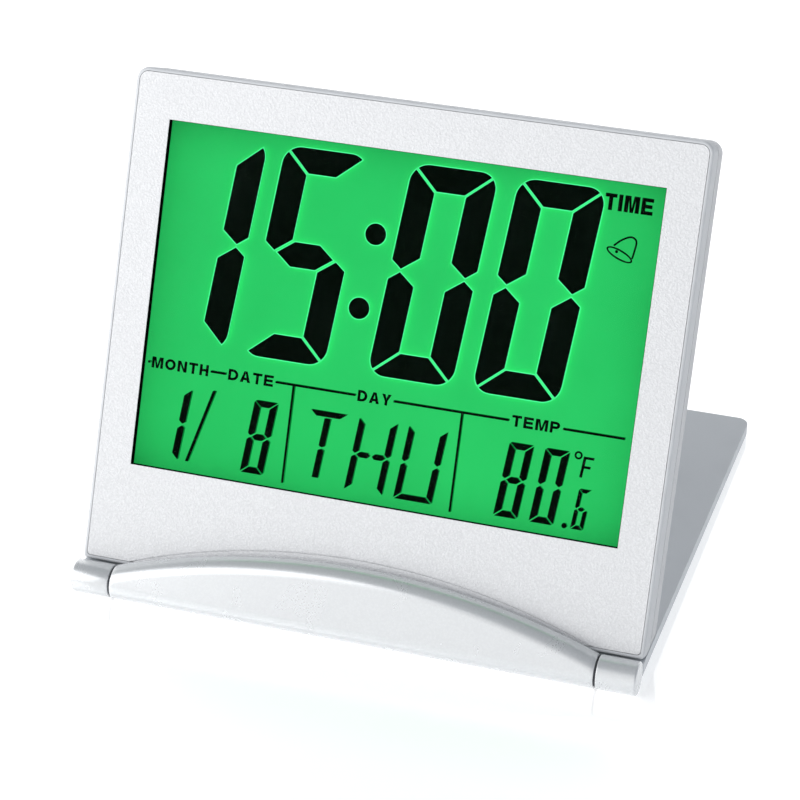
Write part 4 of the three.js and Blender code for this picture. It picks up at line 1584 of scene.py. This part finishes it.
@dataclass
class DisplayArt:
    """Everything that the lit display shows, and the green film behind it."""

    pivot: Pivot
    case: DisplayCase
    art_depth: float = 5.104
    art_thick: float = 0.016
    line_depth: float = 5.128
    line_thick: float = 0.012
    line_width: float = 0.15
    shadow_lift: float = 0.008
    shadow_thick: float = 0.006
    film: Point = (5.86, 5.93)
    rule_y: float = 43.9
    rule_thick: float = 0.45
    row: float = 25.2
    big_row: float = 48.35

    def signs(self) -> list[Sign]:
        """The time, the date, the day and the temperature."""
        places = zip("1500", (-51.06, -30.36, -4.41, 16.74))
        time = [Sign(mark, BIG, x, self.big_row) for mark, x in places]
        date = [Sign("1", SMALL, -45.9, self.row), Sign("8", SMALL, -27.9, self.row)]
        day = [Sign(mark, WORD, x, self.row) for mark, x in zip("THU", (-16.4, -6.2, 3.9))]
        heat = [Sign("8", SMALL, 24.1, self.row), Sign("0", SMALL, 31.2, self.row)]
        return [*time, *date, *day, *heat, Sign("6", TINY, 39.4, self.row)]

    def legends(self) -> list[Legend]:
        """The printed words over the lower row, and the one beside the time."""
        fields = (
            ("MONTH", -42.75, 12.0),
            ("DATE", -27.85, 9.4),
            ("DAY", -2.3, 6.8),
            ("TEMP", 30.15, 9.5),
        )
        low = self.rule_y + 0.05
        return [
            *(Legend(word, x, low, wide, 2.2, 0.56) for word, x, wide in fields),
            Legend("TIME", 42.35, 87.9, 9.3, 3.15, 0.78, 0.38),
            Legend("F", 40.9, self.row + 12.1, 2.1, 4.1, 0.56, lean=0.1),
        ]

    def rules(self) -> list[Loop]:
        """The ruled line between the words, the two dividers, the slash and the square dots."""
        half = self.rule_thick / 2
        pieces = ((-49.6, -49.1), (-36.3, -33.1), (-22.7, -6.2), (1.6, 24.8), (35.5, 47.6))
        low, high = self.rule_y - half, self.rule_y + half
        loops = [oblong((start, low), (end, high)) for start, end in pieces]
        loops += [oblong((x - half, self.row - 0.8), (x + half, low)) for x in (-18.9, 15.5)]
        foot, head = (-39.5, self.row + 0.2), (-35.0, self.row + 15.0)
        (foot_x, low), (head_x, high) = foot, head
        loops.append([foot, (foot_x + 0.65, low), (head_x + 0.3, high), (head_x - 0.35, high)])
        return loops

    def colon(self, grow: float) -> list[Loop]:
        """The colon's two dots, grown by an amount."""
        return [ring(x, y, 2.1 + grow) for x, y in ((-6.1, 75.4), (-7.6, 60.75))]

    def flat(self, name: str, loops: list[Loop], depth: float, thick: float) -> bpy.types.Object:
        """A thin plate of flat outlines, standing at a depth in the display.

        Args:
            name: The object's name.
            loops: The outlines, where one inside another makes a hole.
            depth: How far behind the hinge axis its front is.
            thick: Its thickness.

        Returns:
            The plate, in the body's frame.
        """
        curve = bpy.data.curves.new(name, "CURVE")
        curve.dimensions = "2D"
        curve.fill_mode = "BOTH"
        curve.extrude = thick / 2
        for loop in loops:
            line = curve.splines.new("POLY")
            line.points.add(len(loop) - 1)
            for point, (x, y) in zip(line.points, loop):
                point.co = (x, y, 0.0, 1.0)
            line.use_cyclic_u = True
        obj = bpy.data.objects.new(name, curve)
        bpy.context.scene.collection.objects.link(obj)
        return self.stand(obj, depth + thick / 2)

    @staticmethod
    def stand(obj: bpy.types.Object, depth: float) -> bpy.types.Object:
        """Turns flat art into a mesh and stands it up at a depth."""
        only(obj)
        bpy.ops.object.convert(target="MESH")
        made = bpy.context.active_object
        made.scale = (MM, MM, MM)
        made.rotation_euler = (math.pi / 2, 0, 0)
        made.location = (0, depth * MM, 0)
        bpy.ops.object.transform_apply(location=True, rotation=True, scale=True)
        weld(made, 0.0005)
        return made

    def bell(self) -> list[Loop]:
        """The alarm bell, drawn as a line: dome, lip and clapper."""
        lip_centre, lip_turn = Vector((41.8, 78.25)), math.radians(-22)
        lip = ellipse(lip_centre, 2.8, 0.95, lip_turn)
        lip_hole = ellipse(lip_centre, 2.8 - 0.36, 0.95 - 0.34, lip_turn)
        return [lip, lip_hole, ring(41.2, 78.75, 0.3), *self.dome(lip_centre)]

    def dome(self, lip: Vector) -> list[Loop]:
        """The bell's dome, as a closed band that starts and ends on the lip."""
        spine = [
            *((-1.3, 1.55), (-0.05, 2.7), (1.6, 3.55), (2.6, 3.3)),
            *((2.95, 2.55), (2.75, 0.95), (2.5, -0.45)),
        ]
        points = [lip + Vector(point) for point in smooth_line(spine, 6)]
        outer: Loop = []
        inner: Loop = []
        for index, point in enumerate(points):
            ahead = points[min(index + 1, len(points) - 1)] - points[max(index - 1, 0)]
            across = Vector((-ahead.y, ahead.x)).normalized() * 0.18
            outer.append(tuple(point + across))
            inner.append(tuple(point - across))
        return [[*outer, *reversed(inner)]]

    def film_plate(self) -> None:
        """The green film between the rear glass and the light guide."""
        lap = 0.8
        half = self.case.window_half + lap
        front, back = self.film
        film = block(
            "display_film", (-half, front, self.case.window_low - lap), (
                half, back, self.case.window_top + lap
            )
        )
        soften(film, 0.02, 1)
        middle = (self.case.window_low + self.case.window_top) / 2
        centre = self.pivot.matrix @ Vector((0, front * MM, middle * MM))
        half_height = (self.case.window_top - self.case.window_low) / 2
        # Its glow is the backlight together with painted light for the studio light that the panes
        # keep off the film.
        finish = LitFilm(
            "lit_green_film", "display", (0.028, 0.69, 0.155), 0.5, glow=0.96,
            centre=tuple(centre), turn=self.pivot.lean, half=(self.case.window_half, half_height),
        )
        place(film, self.pivot, "clock_body", finish)

    def build(self) -> None:
        """Makes the film, the light lines, the segments, the words and the bell."""
        self.film_plate()
        lines: list[Loop] = []
        big: list[Loop] = []
        small: list[Loop] = []
        for sign in self.signs():
            segments, edge = SEGMENTS[sign.shows], sign.style.gap / 2
            group = big if sign.style is BIG else small
            group.extend(sign.style.shown(segments, sign.x, sign.y, edge))
            if group is big:
                lines.extend(sign.style.shown(segments, sign.x, sign.y, edge - self.line_width))
        small.append(ring(38.2, self.row + 0.35, 0.52))
        shadows = [*big, *small, *self.colon(0.0), *self.rules()]
        lines.extend(self.colon(self.line_width))
        degree = [ring(39.2, self.row + 14.2, radius) for radius in (0.8, 0.42)]
        inked = {
            "display_time": [*big, *self.colon(0.0)],
            "display_small_signs": [*small, *degree],
            "display_rules": self.rules(),
            "display_bell": self.bell(),
            "display_words": [loop for legend in self.legends() for loop in legend.loops()],
        }
        layers = [
            *((name, loops, self.art_depth, self.art_thick, INK) for name, loops in inked.items()),
            ("display_light_lines", lines, self.line_depth, self.line_thick, HALO),
            ("display_shadows", shadows, self.film[0] - self.shadow_lift, self.shadow_thick, SHADE),
        ]
        for name, loops, depth, thick, finish in layers:
            place(self.flat(name, loops, depth, thick), self.pivot, "clock_body", finish)


def ring(x: float, y: float, radius: float, count: int = 40) -> Loop:
    """A round outline."""
    return ellipse(Vector((x, y)), radius, radius, 0.0, count)


def ellipse(centre: Vector, wide: float, tall: float, turn: float, count: int = 40) -> Loop:
    """A turned ellipse's outline.

    Args:
        centre: Its middle.
        wide: Half its width.
        tall: Half its height.
        turn: How far it is turned, in radians.
        count: How many points.

    Returns:
        The outline.
    """
    made: Loop = []
    for step in range(count):
        angle = 2 * math.pi * step / count
        point = Matrix.Rotation(turn, 2) @ Vector((wide * math.cos(angle), tall * math.sin(angle)))
        made.append(tuple(centre + point))
    return made


def oblong(low: Point, high: Point) -> Loop:
    """An upright rectangle's outline, from its lowest to its highest corner."""
    return [low, (high[0], low[1]), high, (low[0], high[1])]


def smooth_line(points: Sequence[Point], steps: int) -> list[Vector]:
    """A smooth line through points, with a number of steps between each two."""
    held = [Vector(points[0]), *(Vector(point) for point in points), Vector(points[-1])]
    made: list[Vector] = []
    for index in range(1, len(held) - 2):
        a, b, c, d = held[index - 1 : index + 3]
        slope, bend, twist = c - a, 2 * a - 5 * b + 4 * c - d, 3 * b - a - 3 * c + d
        for step in range(steps):
            t = step / steps
            made.append(0.5 * (2 * b + slope * t + bend * t**2 + twist * t**3))
    made.append(held[-1])
    return made


# ---- What stays as the frame has it ------------------------------------------------------------
def dress_frame() -> None:
    """Gives the CAD nodes that stay their finishes."""
    finishes = {
        LENS: ["window_lens"],
        GLASS: ["lcd_front_glass", "lcd_rear_glass"],
        DIFFUSER: ["light_guide", "backlight_led_left", "backlight_led_right"],
        RUBBER: ["lcd_connector_strip"],
        BOARD: ["circuit_board"],
        RESIN: ["clock_chip", "hinge_washer_left", "hinge_washer_right"],
        BRASS: ["cell_contact_minus", "cell_contact_plus", "buzzer_disc"],
        STEEL: [
            "clock_crystal",
            "coin_cell",
            "hinge_pin_left",
            "hinge_pin_right",
            "knuckle_screw_left",
            "knuckle_screw_right",
            *(f"switch_dome_{name}" for name in ("mode", "set", "up", "down", "alarm", "snooze")),
        ],
    }
    for finish, nodes in finishes.items():
        for node in nodes:
            obj = frame["nodes"][node]
            obj.data.materials.clear()
            obj.data.materials.append(finish.material())
            LOG.info("%s: stays, in %s", node, finish.name)


# ---- Studio ------------------------------------------------------------------------------------
def toward(azimuth: float, elevation: float) -> Vector:
    """The direction in which a place round the clock lies, with azimuth 0 in front of it."""
    turn, rise = math.radians(azimuth), math.radians(elevation)
    level = math.cos(rise)
    return Vector((math.sin(turn) * level, -math.cos(turn) * level, math.sin(rise)))


@dataclass
class Softbox:
    """A soft rectangular light that looks at the clock."""

    name: str
    azimuth: float
    elevation: float
    distance: float
    size: Point
    power: float

    def hang(self, aim: Vector) -> None:
        """Hangs the light round the point that it looks at."""
        away = toward(self.azimuth, self.elevation)
        bpy.ops.object.select_all(action="DESELECT")
        bpy.ops.object.light_add(type="AREA", location=aim + away * self.distance)
        lamp = bpy.context.active_object
        lamp.name = self.name
        lamp.rotation_euler = away.to_track_quat("Z", "Y").to_euler()
        lamp.data.shape = "RECTANGLE"
        lamp.data.size, lamp.data.size_y = self.size
        lamp.data.energy = self.power


@dataclass
class Studio:
    """Pale floor, soft lights and the camera."""

    hinge: Vector
    azimuth: float = 17.944
    elevation: float = 30.208
    distance: float = 541.745
    aside: float = 9.662
    above: float = 46.551
    lens: float = 125.34
    sheet_index: float = 2.9
    sheet_glow: float = 0.44
    dull: float = 0.6
    polished: float = 0.03
    dull_before: float = 36.0
    polished_from: float = 12.0
    ring_grey: Colour = (0.36, 0.39, 0.43)
    overhead_grey: Colour = (0.24, 0.26, 0.29)
    ring_strength: float = 0.88
    rear_strength: float = 0.6
    lights: Sequence[Softbox] = (
        Softbox("key", -48.0, 27.0, 0.9, (0.8, 0.8), 4.5),
        Softbox("front_fill", 12.0, 8.0, 1.1, (1.2, 0.5), 0.5),
    )

    def camera(self) -> None:
        """The camera, far off with a long lens."""
        back = toward(self.azimuth, self.elevation)
        right = toward(self.azimuth + 90.0, 0.0)
        up = back.cross(right)
        start = Vector((0.0, self.hinge.y, 0.0))
        eye = start + (right * self.aside + up * self.above + back * self.distance) * MM
        bpy.ops.object.select_all(action="DESELECT")
        bpy.ops.object.camera_add(location=eye)
        made = bpy.context.active_object
        made.name = "studio_camera"
        made.rotation_euler = Matrix((right, up, back)).transposed().to_euler()
        made.data.lens = self.lens
        made.data.sensor_width = 36.0
        made.data.clip_start = 0.01
        made.data.clip_end = 20.0
        bpy.context.scene.camera = made

    def floor(self) -> None:
        """A plain white sheet, polished where the clock stands and dull in front of it."""
        bpy.ops.object.select_all(action="DESELECT")
        bpy.ops.mesh.primitive_plane_add(size=8.0)
        sheet = bpy.context.active_object
        sheet.name = "studio_floor"
        made = bpy.data.materials.new("white_sheet")
        made.use_nodes = True
        graph = Graph(made.node_tree)
        shader = made.node_tree.nodes["Principled BSDF"]
        where = graph.add("TexCoord").outputs["Object"]
        cloud = graph.add("TexNoise", Vector=where, Scale=3.0, Detail=3.0)
        white = (1.0, 1.0, 1.0)
        sheet_tone = graph.blend(cloud.outputs["Fac"], rgba(white, 0.93), rgba(white, 0.95))
        graph.feed(shader, "Base Color", sheet_tone)
        parts = graph.add("SeparateXYZ", Vector=where)
        start, end = (self.hinge.y - gap * MM for gap in (self.dull_before, self.polished_from))
        polish = graph.ranged(parts.outputs["Y"], start, end, self.dull, self.polished)
        haze = graph.ranged(cloud.outputs["Fac"], 0.3, 0.7, 0.0, 0.02)
        graph.feed(shader, "Roughness", graph.math("ADD", polish, haze))
        graph.feed(shader, "IOR", self.sheet_index)
        graph.feed(shader, "Emission Color", rgba(white))
        graph.feed(shader, "Emission Strength", self.sheet_glow)
        sheet.data.materials.append(made)

    def world(self) -> None:
        """A bright ring all round, greyer to the right and dim overhead."""
        made = bpy.data.worlds.new("studio_world")
        bpy.context.scene.world = made
        made.use_nodes = True
        graph = Graph(made.node_tree)
        backdrop = made.node_tree.nodes["Background"]
        where = graph.add("TexCoord").outputs["Generated"]
        parts = graph.add("SeparateXYZ", Vector=where)
        right = graph.ranged(parts.outputs["X"], 0.1, 0.9, 0.0, 1.0)
        ring = graph.blend(right, rgba((1.0, 1.0, 1.0)), rgba(self.ring_grey))
        overhead = graph.ranged(parts.outputs["Z"], 0.5, 0.8, 0.0, 1.0)
        graph.feed(backdrop, "Color", graph.blend(overhead, ring, rgba(self.overhead_grey)))
        rear = graph.ranged(parts.outputs["Y"], 0.2, 0.6, 0.0, 1.0)
        low_rear = graph.math("MULTIPLY", rear, graph.math("SUBTRACT", 1.0, overhead))
        extra = graph.math("MULTIPLY", low_rear, self.rear_strength)
        graph.feed(backdrop, "Strength", graph.math("ADD", self.ring_strength, extra))

    def build(self) -> None:
        """Sets the studio up."""
        self.camera()
        self.floor()
        self.world()
        aim = self.hinge + Vector((0.0, 0.03, 0.045))
        for light in self.lights:
            light.hang(aim)
        bpy.context.scene.view_settings.view_transform = "Standard"


def main() -> None:
    """Builds the clock round the frame, then the studio."""
    logging.basicConfig(level=logging.INFO, format="%(name)s: %(message)s")
    body, lid = find_pivots()
    case = DisplayCase(body)
    case.build()
    HingeBow(body).build()
    Cover(lid, case.arch_radius).build()
    RearFittings(body).build()
    DisplayArt(body, case).build()
    dress_frame()
    Studio(body.place).build()


if __name__ == "__main__":
    main()
